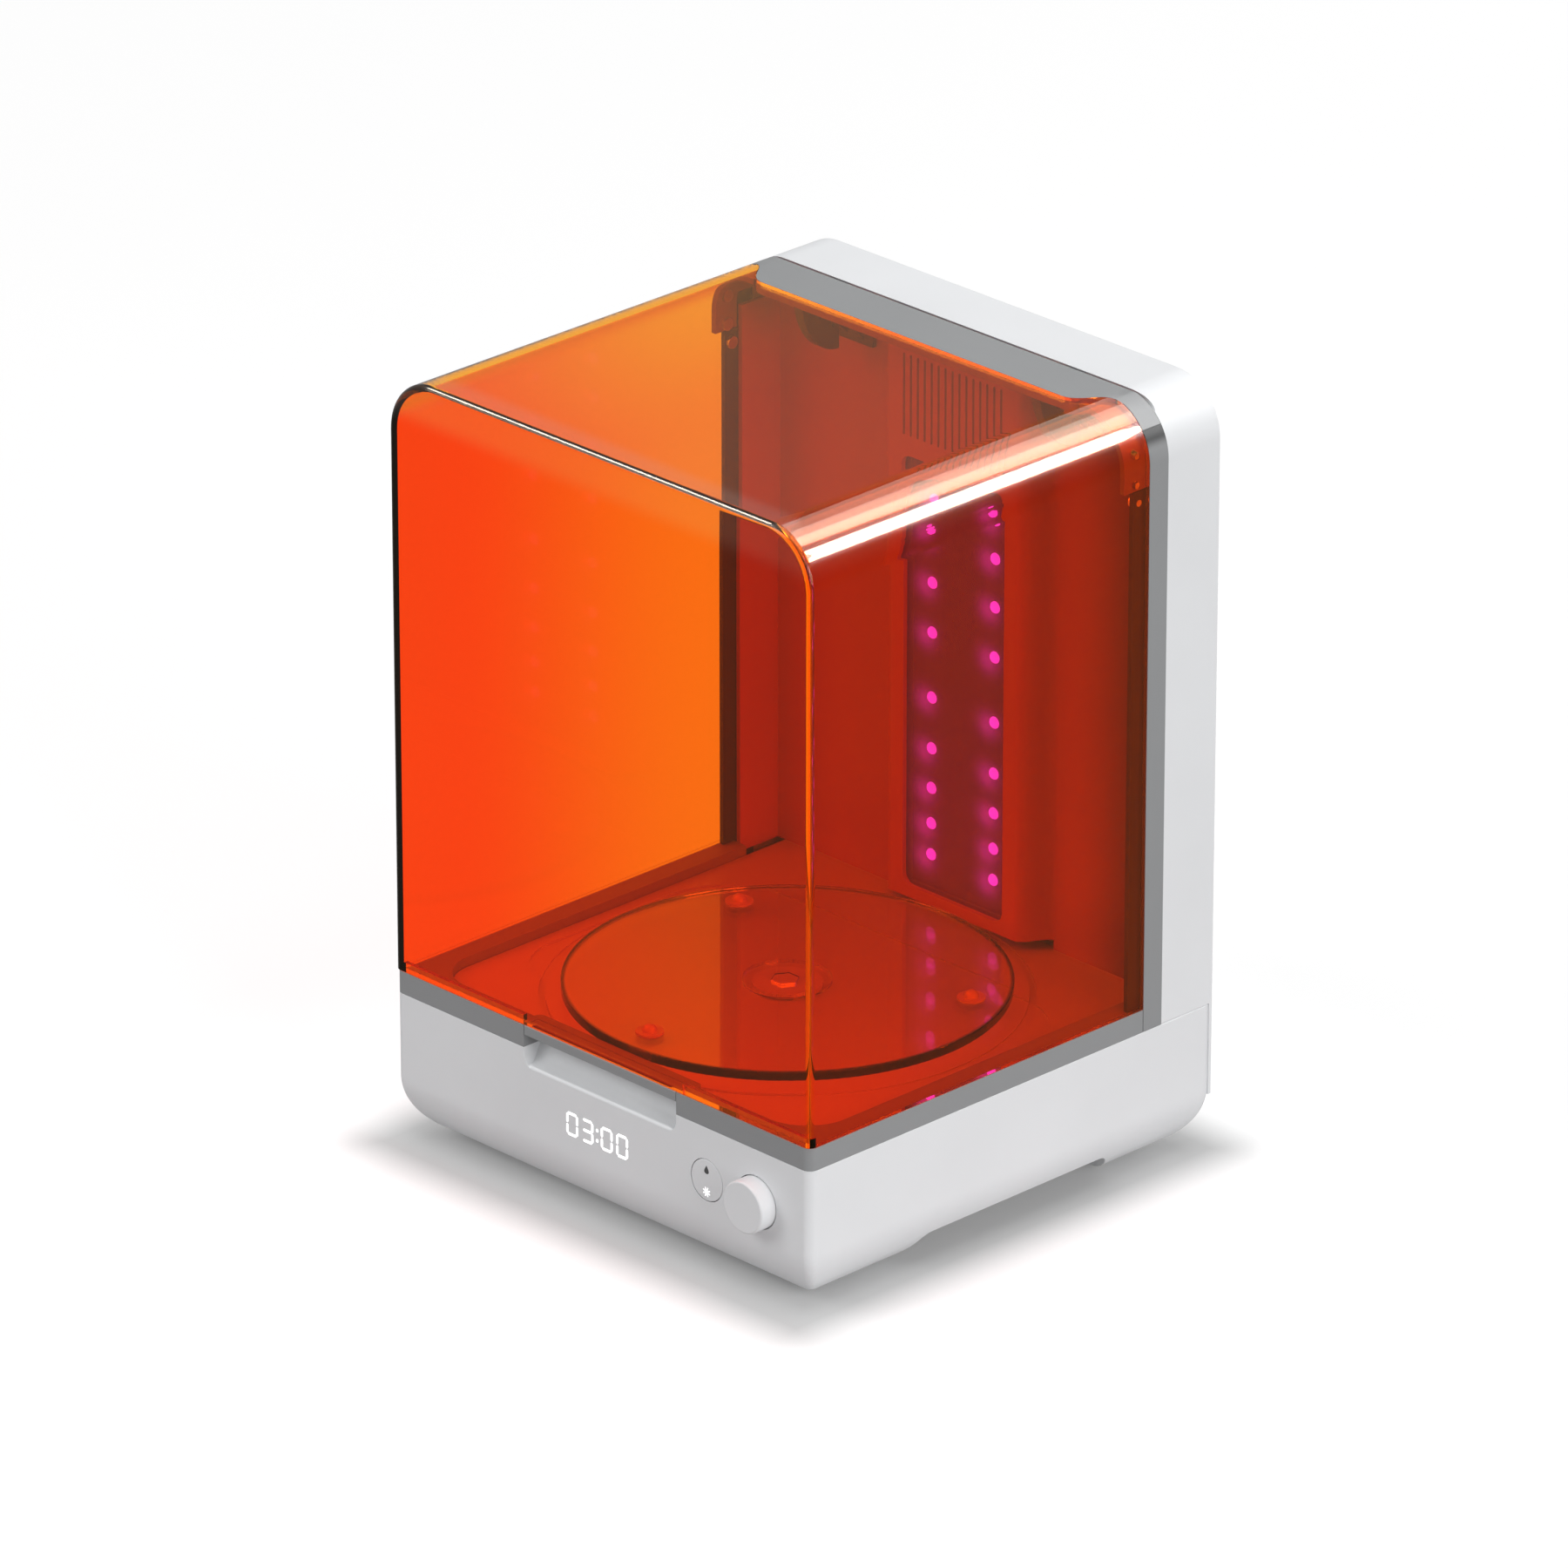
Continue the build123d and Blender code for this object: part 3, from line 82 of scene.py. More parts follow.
# Name, place, direction, size, power and what the lamp reaches
LAMPS = (
    ("over_lamp", (0.1, -0.05, 2.4), (0.0, 0.0, -1.0), (2.4, 2.4), 25.5, "all"),
    ("front_lamp", (-1.3, -1.9, 1.5), (1.3, 1.9, -1.3), (1.4, 1.4), 21.5, "all"),
    ("right_lamp", (2.4, -0.3, 0.8), (-2.4, 0.3, -0.6), (1.4, 1.4), 36.0, "all"),
    ("rear_lamp", (-0.8, 2.6, 0.7), (0.8, -2.6, -0.5), (1.2, 1.2), 13.0, "matt"),
    ("edge_lamp", (0.957, 1.0, 1.15), (-0.719, 0.0, -0.695), (0.46, 0.25), 20.0, "gloss"),
    ("haze_a", (0.44, 1.0, 1.4904), (0.0, -1.0, 0.0), (0.70, 0.42), 13.0, "gloss"),
    ("haze_b", (0.04, 1.0, 1.4264), (0.0, -1.0, 0.0), (0.70, 0.38), 6.0, "gloss"),
    ("haze_c", (-0.40, 1.0, 1.356), (0.0, -1.0, 0.0), (0.70, 0.50), 3.0, "gloss"),
    ("brow_lamp", (-1.0, -0.55, 1.40), (1.0, 0.45, -1.10), (0.45, 0.45), 16.0, "gloss"),
)

PLASTIC_IOR = 1.46
ACRYLIC_IOR = 1.49
HOOD_IOR = 1.34
PAINTED_SILL_SHADE = (0.30, 0.02, 0.001)  # painted shade: dark colour of the hood's bottom edge
HOOD_THROUGH = (1.0, 0.34, 0.10)  # what one face of the hood lets through of lamp light
WHITE = (1.0, 1.0, 1.0)
SMOOTH_ANGLE = 40.0
MERGE_STEP = 2e-6

# Strength of the pale surroundings for gloss and for matt; the eye sees them in full
SEEN_IN_GLOSS = 0.36
SEEN_BY_MATT = 0.42

# Floor: distances from the body over which its painted contact shadow, tone and far white come in
FLOOR_REACH = 7.0
SHADE_START, SHADE_END = -0.012, 0.035
TONE_START, TONE_END = 0.0, 0.16
WHITE_START, WHITE_END = 0.4, 2.4
FLOOR_LIFT = 0.67  # glow of the floor beyond its painted contact shadow; the far floor glows at full strength

# Timer: left edge of each digit, and the two dots between them, from the middle
DIGITS = "0300"
DIGIT_STARTS = (-20.3 * MM, -11.0 * MM, 0.6 * MM, 9.9 * MM)
DIGIT_SINK = 0.25 * MM  # how much shorter a bar is than the space it fills
DOT_PLACE, DOT_RISE, DOT_RADIUS = -1.6 * MM, 2.35 * MM, 0.8 * MM
SIGN_DEPTH = 0.1 * MM  # how far a lit or inked sign reaches into its face

# Button: how far the drop and the sun stand from its middle
ICON_SHIFT, DROP_RISE, SUN_DROP = -0.2 * MM, 4.8 * MM, 5.4 * MM
SUN_TURN = 22.5  # degrees

# Lamp window: points across and up its grid, and the two spreads of the glow in lens radii
WINDOW_COLUMNS, WINDOW_ROWS = 65, 201
SPOT_SPREAD, VEIL_SPREAD, VEIL_SHARE = 2.0, 4.0, 0.07


# ---------------------------------------------------------------- shader maths


class Term:
    """A socket that takes part in arithmetic; each operation adds one Math node."""

    def __init__(self, finish, socket):
        self.finish = finish
        self.socket = socket

    def _math(self, operation, *values, clamp=False):
        """One Math node over the values, its result clamped if asked."""
        return self.finish.add("ShaderNodeMath", {"operation": operation, "use_clamp": clamp}, values)

    def __add__(self, other):
        return self._math("ADD", self, other)

    __radd__ = __add__

    def __mul__(self, other):
        return self._math("MULTIPLY", self, other)

    __rmul__ = __mul__

    def __sub__(self, other):
        return self._math("SUBTRACT", self, other)

    def __rsub__(self, other):
        return self._math("SUBTRACT", other, self)

    def __pow__(self, other):
        return self._math("POWER", self, other)

    def top(self, other):
        """The larger of the two."""
        return self._math("MAXIMUM", self, other)

    def size(self):
        """The value without its sign."""
        return self._math("ABSOLUTE", self)

    def held(self):
        """The value kept within 0 and 1."""
        return self._math("ADD", self, 0.0, clamp=True)

    def between(self, low, high):
        """0 at low, 1 at high, eased between; low may be the larger."""
        values = {"Value": self, "From Min": low, "From Max": high}
        return self.finish.add("ShaderNodeMapRange", {"interpolation_type": "SMOOTHSTEP"}, values)


class Finish:
    """One material under construction, with its node tree."""

    def __init__(self, name):
        self.material = bpy.data.materials.new(name)
        self.material.use_nodes = True
        self.tree = self.material.node_tree
        self.tree.nodes.clear()

    @classmethod
    def of_world(cls, world):
        """The same helper over the world's node tree."""
        finish = cls.__new__(cls)
        finish.material = None
        finish.tree = world.node_tree
        finish.tree.nodes.clear()
        return finish

    def add(self, kind, settings=None, inputs=None, output=0):
        """A node of that kind: its settings first, then its sockets, by place or by name."""
        node = self.tree.nodes.new(kind)
        for name, value in (settings or {}).items():
            setattr(node, name, value)
        pairs = inputs.items() if isinstance(inputs, dict) else enumerate(inputs or ())
        for key, value in pairs:
            self.feed(node.inputs[key], value)
        return Term(self, node.outputs[output])

    def feed(self, socket, value):
        """Link a term to a socket, or set the socket's own value."""
        if isinstance(value, Term):
            self.tree.links.new(value.socket, socket)
        elif isinstance(value, (tuple, list)) and len(value) == 3 and len(socket.default_value) == 4:
            socket.default_value = (*value, 1.0)
        else:
            socket.default_value = value

    def place(self):
        """Object coordinates, in metres."""
        return self.add("ShaderNodeTexCoord", output=3)

    def axes(self):
        """The three Object coordinates as separate terms."""
        split = self.add("ShaderNodeSeparateXYZ", None, [self.place()])
        outputs = split.socket.node.outputs
        return [Term(self, outputs[k]) for k in range(3)]

    def stretched(self, scale):
        """Object coordinates multiplied by a vector."""
        return self.add("ShaderNodeVectorMath", {"operation": "MULTIPLY"}, [self.place(), tuple(scale)])

    def rays(self, *kinds):
        """1 for rays of any of these kinds, such as Camera or Glossy."""
        outputs = self.add("ShaderNodeLightPath").socket.node.outputs
        terms = [Term(self, outputs["Is " + kind + " Ray"]) for kind in kinds]
        found = terms[0]
        for term in terms[1:]:
            found = found.top(term)
        return found

    def noise(self, scale, detail=2.0, rough=0.5, where=None):
        """Noise over Object coordinates, or over the place that is given."""
        inputs = {"Vector": where or self.place(), "Scale": scale, "Detail": detail, "Roughness": rough}
        return self.add("ShaderNodeTexNoise", {"noise_dimensions": "3D"}, inputs)

    def blend(self, amount, first, second):
        """First colour where amount is 0, second where it is 1."""
        node = self.tree.nodes.new("ShaderNodeMix")
        node.data_type = "RGBA"
        self.feed(node.inputs[0], amount)
        self.feed(node.inputs[6], first)
        self.feed(node.inputs[7], second)
        return Term(self, node.outputs[2])

    def bump(self, height, strength, distance):
        """A normal leaned by the slope of height."""
        inputs = {"Height": height, "Strength": strength, "Distance": distance}
        return self.add("ShaderNodeBump", None, inputs)

    def plastic(self, **sockets):
        """A Principled shader with its sockets given by name, with _ for a space."""
        named = {name.replace("_", " "): value for name, value in sockets.items()}
        return self.add("ShaderNodeBsdfPrincipled", None, named)

    def straight_to_lamps(self, solid, through):
        """Solid to the eye, and plain see-through of that colour to shadow and diffuse rays."""
        clear = self.add("ShaderNodeBsdfTransparent", None, {"Color": through})
        return self.add("ShaderNodeMixShader", None, [self.rays("Shadow", "Diffuse"), solid, clear])

    def done(self, shader):
        """The material, with the shader on its surface."""
        out = self.tree.nodes.new("ShaderNodeOutputMaterial")
        self.tree.links.new(shader.socket, out.inputs["Surface"])
        return self.material


# ------------------------------------------------------------------- finishes


def moulded(name, colour, rough, grain=0.00002, scale=2600.0, spread=0.05, shaded=None, even=False):
    """Moulded plastic: eroded grain, faint cloudy tone and slightly uneven sheen.

    With shaded=(axis, a, b, share) a painted shade darkens the tone by that share as the
    distance along the axis goes from a to b; with even=True the distance counts to either side.
    """
    f = Finish(name)
    cloud = f.noise(14.0, 3.0)
    fine = f.noise(scale, 2.0)
    dark = tuple(c * (1.0 - spread) for c in colour)
    light = tuple(min(1.0, c * (1.0 + spread)) for c in colour)
    tone = f.blend(cloud, dark, light)
    # Painted shade along one axis
    if shaded is not None:
        axis, start, end, share = shaded
        along = f.axes()[axis]
        edge = (along.size() if even else along).between(start, end)
        tone = f.blend(edge, tone, tuple(c * (1.0 - share) for c in colour))
    sheen = rough - 0.05 + cloud * 0.06 + fine * 0.05
    relief = f.bump(fine, 0.35, grain)
    return f.done(f.plastic(Base_Color=tone, Roughness=sheen, Normal=relief, IOR=PLASTIC_IOR))


def tinted_hood(name, tint, front_tint):
    """Clear tinted acrylic: refracting to the eye, tinted and straight to lamp light.

    The tint goes from front_tint to tint towards the back of the left wall and stays deep on
    the right and the roof, painted light and shade over one even acrylic; the bottom edge is
    darkest, a painted shade. A soft clear coat lies on the top roundings alone.
    """
    f = Finish(name)
    x, y, z = f.axes()
    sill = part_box("hood")[0][2]
    # Painted light and shade: the tint lightens towards the back of the left wall and stays deep on the
    # right and the roof
    back = y.between(BOX_LOW[1] + 40 * MM, BOX_LOW[1] + 200 * MM)
    left = 1.0 - x.between(-110 * MM, 10 * MM)
    roof = z.between(328 * MM, 338 * MM)
    walls = back * (left * 0.86 + 0.14)
    colour = f.blend(walls * (1.0 - roof) + roof * (left * 0.26 + 0.10), front_tint, tint)
    # Painted shade: a dark band along the hood's bottom edge
    colour = f.blend(z.between(sill + 4.5 * MM, sill + 2.5 * MM), colour, PAINTED_SILL_SHADE)
    rounding = x.size().between(103 * MM, 115 * MM).top(1.0 - y.between(-108 * MM, -98 * MM))
    smear = f.noise(9.0, 3.0)
    wipe = f.noise(1.0, 2.0, where=f.stretched((260.0, 18.0, 30.0)))
    sheen = (smear * wipe).between(0.30, 0.60) * 0.012
    ripple = f.noise(16.0, 1.0)
    solid = f.plastic(
        Base_Color=colour,
        Roughness=sheen,
        Transmission_Weight=1.0,
        IOR=HOOD_IOR,
        Specular_IOR_Level=0.18,
        Specular_Tint=(1.0, 0.60, 0.25),
        Coat_Weight=roof * rounding,
        Coat_Roughness=0.20,
        Coat_IOR=HOOD_IOR,
        Normal=f.bump(ripple, 0.02, 0.0001),
    )
    return f.done(f.straight_to_lamps(solid, HOOD_THROUGH))


def clear_acrylic(name, tint, rough=0.01, scratches=0.02):
    """Clear sheet with turned micro-scratches and a darker rim of painted shade, straight to lamp light."""
    f = Finish(name)
    x, y, z = f.axes()
    low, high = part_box("turntable_disc")
    centre = (low[1] + high[1]) / 2
    rim = (high[0] - low[0]) / 2
    radius = (x * x + (y - centre) * (y - centre)) ** 0.5
    turned = f.add("ShaderNodeCombineXYZ", None, [radius * 900.0, z * 40.0, 0.0])
    rings = f.noise(1.0, 2.0, where=turned)
    haze = f.noise(30.0, 3.0)
    sheen = rough + rings.between(0.45, 0.8) * haze * scratches
    # Painted shade: the tint darkens at the rim as the dark line of the disc's edge
    edge = radius.between(rim - 2.2 * MM, rim - 0.8 * MM)
    tone = f.blend(edge, tint, tuple(c * 0.16 for c in tint))
    solid = f.plastic(Base_Color=tone, Roughness=sheen, Transmission_Weight=1.0, IOR=ACRYLIC_IOR)
    return f.done(f.straight_to_lamps(solid, tuple(math.sqrt(c) for c in tint)))


def metal(name, colour, rough, along=(40.0, 900.0, 900.0)):
    """Brushed metal: fine lines along one direction in tone, sheen and height."""
    f = Finish(name)
    lines = f.noise(1.0, 3.0, where=f.stretched(along))
    cloud = f.noise(40.0, 2.0)
    tone = f.blend(lines * 0.6 + cloud * 0.4, tuple(c * 0.86 for c in colour), colour)
    sheen = rough + lines * 0.10 + cloud * 0.05
    relief = f.bump(lines, 0.2, 0.00001)
    return f.done(f.plastic(Base_Color=tone, Metallic=1.0, Roughness=sheen, Normal=relief))


def circuit_board(name, colour):
    """Solder-masked board: lighter tracks under the lacquer."""
    f = Finish(name)
    kind = {"feature": "DISTANCE_TO_EDGE", "distance": "EUCLIDEAN"}
    cell = f.add("ShaderNodeTexVoronoi", kind, {"Vector": f.place(), "Scale": 260.0})
    track = 1.0 - cell.between(0.02, 0.07)
    tone = f.blend(track, colour, tuple(min(1.0, c * 1.7 + 0.01) for c in colour))
    relief = f.bump(track, 0.2, 0.00003)
    return f.done(f.plastic(Base_Color=tone, Roughness=0.35 + track * 0.1, Normal=relief))


def rubber(name, colour):
    """Soft rubber with a powdery bloom."""
    f = Finish(name)
    bloom = f.noise(220.0, 4.0, 0.7)
    tone = f.blend(bloom.between(0.5, 0.85), colour, tuple(c * 1.8 + 0.01 for c in colour))
    relief = f.bump(bloom, 0.3, 0.00004)
    return f.done(f.plastic(Base_Color=tone, Roughness=0.75 + bloom * 0.15, Normal=relief))


def smoked_window(name, glow):
    """Smoked clear cover with a painted glow where its glow attribute is high, standing for the lamps behind
    it.
    """
    f = Finish(name)
    near = f.add("ShaderNodeAttribute", {"attribute_name": "painted_glow"}, output=2)
    haze = f.noise(60.0, 3.0)
    light = f.blend((near * (0.92 + haze * 0.16)).held(), (0.0, 0.0, 0.0), glow)
    tone = f.blend(haze, (0.30, 0.10, 0.11), (0.34, 0.13, 0.13))
    return f.done(
        f.plastic(
            Base_Color=tone,
            Roughness=0.22 + haze * 0.1,
            Emission_Color=light,
            Emission_Strength=24.0,
            Alpha=0.45,
            IOR=ACRYLIC_IOR,
        )
    )


def glowing(name, colour, glow, strength):
    """Lit part whose glow varies a little with a fine noise, so it isn't dead flat."""
    f = Finish(name)
    flicker = f.noise(900.0, 1.0)
    light = f.blend(flicker * 0.25, glow, tuple(min(1.0, c * 1.05) for c in glow))
    lit = {"Emission_Color": light, "Emission_Strength": strength}
    return f.done(f.plastic(Base_Color=colour, Roughness=0.4, **lit))


# -------------------------------------------------------------- numpy surfaces


def linked(name, data):
    """A new object in the scene that holds the data."""
    piece = bpy.data.objects.new(name, data)
    bpy.context.scene.collection.objects.link(piece)
    return piece


def corners_of(mesh):
    """The mesh's points as an array (points, 3)."""
    points = np.empty(len(mesh.vertices) * 3)
    mesh.vertices.foreach_get("co", points)
    return points.reshape(-1, 3)


def surface(name, grids, closed_u=True, finish=True):
    """One mesh from several grids of points, each an array (rows, columns, 3).

    Columns run round and rows run along, so each face joins (i, j), (i, j+1),
    (i+1, j+1) and (i+1, j).
    """
    points = []
    faces = []
    start = 0
    for grid in grids:
        rows, columns = grid.shape[:2]
        index = start + np.arange(rows * columns).reshape(rows, columns)
        if closed_u:
            index = np.hstack([index, index[:, :1]])
        quad = np.stack([index[:-1, :-1], index[:-1, 1:], index[1:, 1:], index[1:, :-1]], axis=-1)
        points.append(grid.reshape(-1, 3))
        faces.append(quad.reshape(-1, 4))
        start += rows * columns
    points = np.vstack(points).astype(np.float32)
    faces = np.vstack(faces)
    mesh = bpy.data.meshes.new(name)
    mesh.from_pydata(points.tolist(), [], faces.tolist())
    mesh.validate()
    if finish:
        tidy_mesh(mesh, SMOOTH_ANGLE)
    return linked(name, mesh)


def tidy_mesh(mesh, angle):
    """Merge doubles, close poles, turn normals outwards and smooth below an angle."""
    work = bmesh.new()
    work.from_mesh(mesh)
    bmesh.ops.remove_doubles(work, verts=work.verts, dist=1e-7)
    bmesh.ops.dissolve_degenerate(work, edges=work.edges, dist=1e-8)
    bmesh.ops.recalc_face_normals(work, faces=work.faces)
    work.to_mesh(mesh)
    work.free()
    mesh.polygons.foreach_set("use_smooth", np.ones(len(mesh.polygons), dtype=bool))
    mesh.set_sharp_from_angle(angle=math.radians(angle))


def turns(count):
    """Angles evenly round the full circle, from 0."""
    return np.linspace(0.0, 2 * math.pi, count, endpoint=False)


def ring(x, z, radius, count):
    """Circle: x + r cos t and z + r sin t."""
    t = turns(count)
    return np.stack([x + radius * np.cos(t), z + radius * np.sin(t)], axis=1)


def rounded_outline(corners, radius, steps=5):
    """Outline of a convex shape whose corners are arcs.

    Each corner moves inwards along its bisector by r / sin(half angle), and its
    arc turns from the normal of the side before to the normal of the side after.
    """
    p = np.asarray(corners, dtype=float)
    ahead = np.roll(p, -1, axis=0) - p
    ahead /= np.linalg.norm(ahead, axis=1, keepdims=True)
    behind = np.roll(ahead, 1, axis=0)
    out_before = np.stack([behind[:, 1], -behind[:, 0]], axis=1)
    out_after = np.stack([ahead[:, 1], -ahead[:, 0]], axis=1)
    middle = out_before + out_after
    middle /= np.linalg.norm(middle, axis=1, keepdims=True)
    lean = np.sum(middle * out_before, axis=1, keepdims=True)
    centre = p - middle * radius / lean
    a0 = np.arctan2(out_before[:, 1], out_before[:, 0])
    turn = np.mod(np.arctan2(out_after[:, 1], out_after[:, 0]) - a0 + math.pi, 2 * math.pi) - math.pi
    share = np.linspace(0.0, 1.0, steps)
    angle = a0[:, None] + turn[:, None] * share[None, :]
    arc = centre[:, None, :] + radius * np.stack([np.cos(angle), np.sin(angle)], axis=-1)
    return arc.reshape(-1, 2)


def plate(outline, depth_front, depth_back, soft):
    """A thin plate facing -Y: rows run from the middle of the front over the edge to the back.

    Row k is the outline drawn to its middle by share s(k), at depth d(k); the front
    edge is eased by soft.
    """
    outline = np.asarray(outline, dtype=float)
    centre = outline.mean(axis=0)
    size = np.abs(outline - centre).max()
    ease = np.linspace(0.0, math.pi / 2, 5)
    shares = np.concatenate([[0.0, 0.5], 1.0 - soft / size * (1.0 - np.sin(ease)), [1.0, 0.5, 0.0]])
    depths = np.concatenate([[depth_front] * 2, depth_front + soft * (1.0 - np.cos(ease)), [depth_back] * 3])
    flat = centre + (outline - centre) * shares[:, None, None]
    grid = np.empty((len(shares), len(outline), 3))
    grid[..., 0] = flat[..., 0]
    grid[..., 1] = depths[:, None]
    grid[..., 2] = flat[..., 1]
    return grid


def dome(centre, radius, rise, rows=9, columns=24):
    """A lens facing -Y, closed behind.

    With t from 0 to 90 degrees the radius is R sin t and the depth is -H cos t.
    """
    t = np.linspace(0.0, math.pi / 2, rows)
    r = np.append(radius * np.sin(t), 0.0)
    d = np.append(-rise * np.cos(t), 0.0)
    a = turns(columns)
    grid = np.empty((rows + 1, columns, 3))
    grid[..., 0] = centre[0] + r[:, None] * np.cos(a)
    grid[..., 1] = centre[1] + d[:, None]
    grid[..., 2] = centre[2] + r[:, None] * np.sin(a)
    return grid


def smooth_copy(name, nodes, angle=30.0):
    """A merged copy of CAD meshes with smooth shading over their curved faces.

    Points that round to the same step become one; each vertex normal is then the mean of
    its faces' normals weighted by area, so flat walls stay flat beside their roundings.
    """
    points = []
    corners = []
    start = 0
    for node in nodes:
        source = frame["nodes"][node].data
        index = np.empty(len(source.loops), dtype=np.int64)
        source.loops.foreach_get("vertex_index", index)
        points.append(corners_of(source))
        corners.append(index.reshape(-1, 3) + start)
        start += len(source.vertices)
    points = np.vstack(points)
    corners = np.vstack(corners)
    steps = np.round(points / MERGE_STEP)
    first, merged = np.unique(steps, axis=0, return_index=True, return_inverse=True)[1:]
    faces = merged.reshape(-1)[corners]
    a, b, c = faces.T
    whole = (a != b) & (b != c) & (a != c)
    mesh = bpy.data.meshes.new(name)
    mesh.from_pydata(points[first].tolist(), [], faces[whole].tolist())
    mesh.validate()
    mesh.polygons.foreach_set("use_smooth", np.ones(len(mesh.polygons), dtype=bool))
    mesh.set_sharp_from_angle(angle=math.radians(angle))
    piece = linked(name, mesh)
    level = piece.modifiers.new("even normals", "WEIGHTED_NORMAL")
    level.mode = "FACE_AREA"
    level.weight = 90
    level.keep_sharp = True
    return piece


def wear(piece, material):
    """Give a new piece its one material."""
    piece.data.materials.clear()
    piece.data.materials.append(material)


def body_holding(node):
    """The name of the body that a CAD node belongs to."""
    for body, nodes in frame["record"]["behaviour"]["bodies"].items():
        if node in nodes:
            return body
    raise RuntimeError("no body holds " + node)


# ------------------------------------------------------------------ properties


def colour_of(name, description, default):
    """A colour property."""
    return FloatVectorProperty(name=name, description=description, subtype="COLOR", default=default)


def length_of(name, description, default):
    """A length property, in metres."""
    return FloatProperty(name=name, description=description, unit="LENGTH", default=default)


class StationColours(PropertyGroup):
    """Colours of the finishes"""

    shell: colour_of("Shell", "White of the base, column and knob", (0.74, 0.75, 0.765))
    trim: colour_of("Trim", "Grey of the deck band and hinge bar", (0.27, 0.275, 0.28))
    # The change between these two hood tints over the hood is painted light and shade
    hood: colour_of("Hood", "Tint of the hood for one wall", (1.0, 0.72, 0.024))
    hood_front: colour_of("Hood, front", "Tint of the hood near the front", (1.0, 0.21, 0.008))
    # The chamber is grey; the warm cast of these two colours is painted in for the orange light through the
    # hood
    chamber: colour_of("Chamber", "Warm grey of the chamber's wall", (0.50, 0.17, 0.15))
    chamber_floor: colour_of("Chamber floor", "Warm grey of the chamber's floor", (0.60, 0.58, 0.36))
    lamp: colour_of("Lamps", "Glow of the curing lamps", (0.021, 0.0022, 1.0))


class StationSizes(PropertyGroup):
    """Sizes of the signs and lenses, and the lamps' strength"""

    digit_width: length_of("Digit width", "Width of one timer digit", 7.1 * MM)
    digit_height: length_of("Digit height", "Height of the timer digits", 10.8 * MM)
    digit_stroke: length_of("Digit stroke", "Width of a digit's bars", 1.25 * MM)
    icon_size: length_of("Icon size", "Height of the button's icons", 3.2 * MM)
    lens_radius: length_of("Lens radius", "Radius of a lamp's lens", 2.7 * MM)
    sun_rays: IntProperty(name="Sun rays", description="Rays of the sun icon", default=8, min=5, max=12)
    lamp_strength: FloatProperty(
        name="Lamp strength", description="Glow of the curing lamps", default=150.0, min=0.0
    )


# ------------------------------------------------------------------- operators


class STATION_OT_shells(Operator):
    """Dress the white shells, the grey trim and the controls"""

    bl_idname = "station.shells"
    bl_label = "Shells and trim"

    def execute(self, context):
        colours = context.scene.station_colours
        white = moulded("shell_white", colours.shell, 0.50)
        grey = moulded("trim_grey", colours.trim, 0.46)
        # Painted shade: the side bezels are darkened on their inner faces
        painted_inner_shade = (0, 124.3 * MM, 122.5 * MM, 0.88)
        bezel = moulded("bezel_grey", colours.trim, 0.46, shaded=painted_inner_shade, even=True)
        groups = {
            "base_shell": white, "column_shell": white, "back_panel": white, "bottom_plate": white,
            "mode_button": white, "knob": white,
            "deck_band": grey, "side_bezel_left": bezel, "side_bezel_right": bezel,
            "hinge_frame": grey, "hood_handle": grey,
        }
        for node, material in groups.items():
            piece = smooth_copy(node + "_skin", [node])
            wear(piece, material)
            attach(piece, body_holding(node))
            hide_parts(node)
        return {"FINISHED"}


class STATION_OT_hood(Operator):
    """Dress the tinted hood"""

    bl_idname = "station.hood"
    bl_label = "Hood"

    def execute(self, context):
        colours = context.scene.station_colours
        piece = smooth_copy("hood_skin", ["hood"], 25.0)
        wear(piece, tinted_hood("hood_orange", tuple(colours.hood), tuple(colours.hood_front)))
        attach(piece, "lid")
        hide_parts("hood")
        return {"FINISHED"}


class STATION_OT_chamber(Operator):
    """Dress the chamber: floor, rear wall and turntable"""

    bl_idname = "station.chamber"
    bl_label = "Chamber"

    def execute(self, context):
        colours = context.scene.station_colours
        # Painted shade: the chamber wall darkens towards its right edge and the chamber floor towards the
        # back
        painted_right_shade = (0, 56 * MM, 106 * MM, 0.86)
        painted_back_shade = (1, -70 * MM, 70 * MM, 0.22)
        wall = moulded("chamber_wall", colours.chamber, 0.38, spread=0.08, shaded=painted_right_shade)
        base = moulded("chamber_base", colours.chamber_floor, 0.36, spread=0.08, shaded=painted_back_shade)
        for node, finish in (("rear_liner", wall), ("chamber_floor", base)):
            piece = smooth_copy(node + "_skin", [node])
            wear(piece, finish)
            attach(piece, "station")
            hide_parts(node)
        clear = clear_acrylic("turntable_clear", (0.93, 0.93, 0.94))
        solid = moulded("table_fittings", colours.chamber_floor, 0.3)
        for node, finish in (("turntable_disc", clear), ("turntable_hub", clear), ("turntable_pegs", solid)):
            piece = smooth_copy(node + "_skin", [node])
            wear(piece, finish)
            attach(piece, "turntable")
            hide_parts(node)
        return {"FINISHED"}


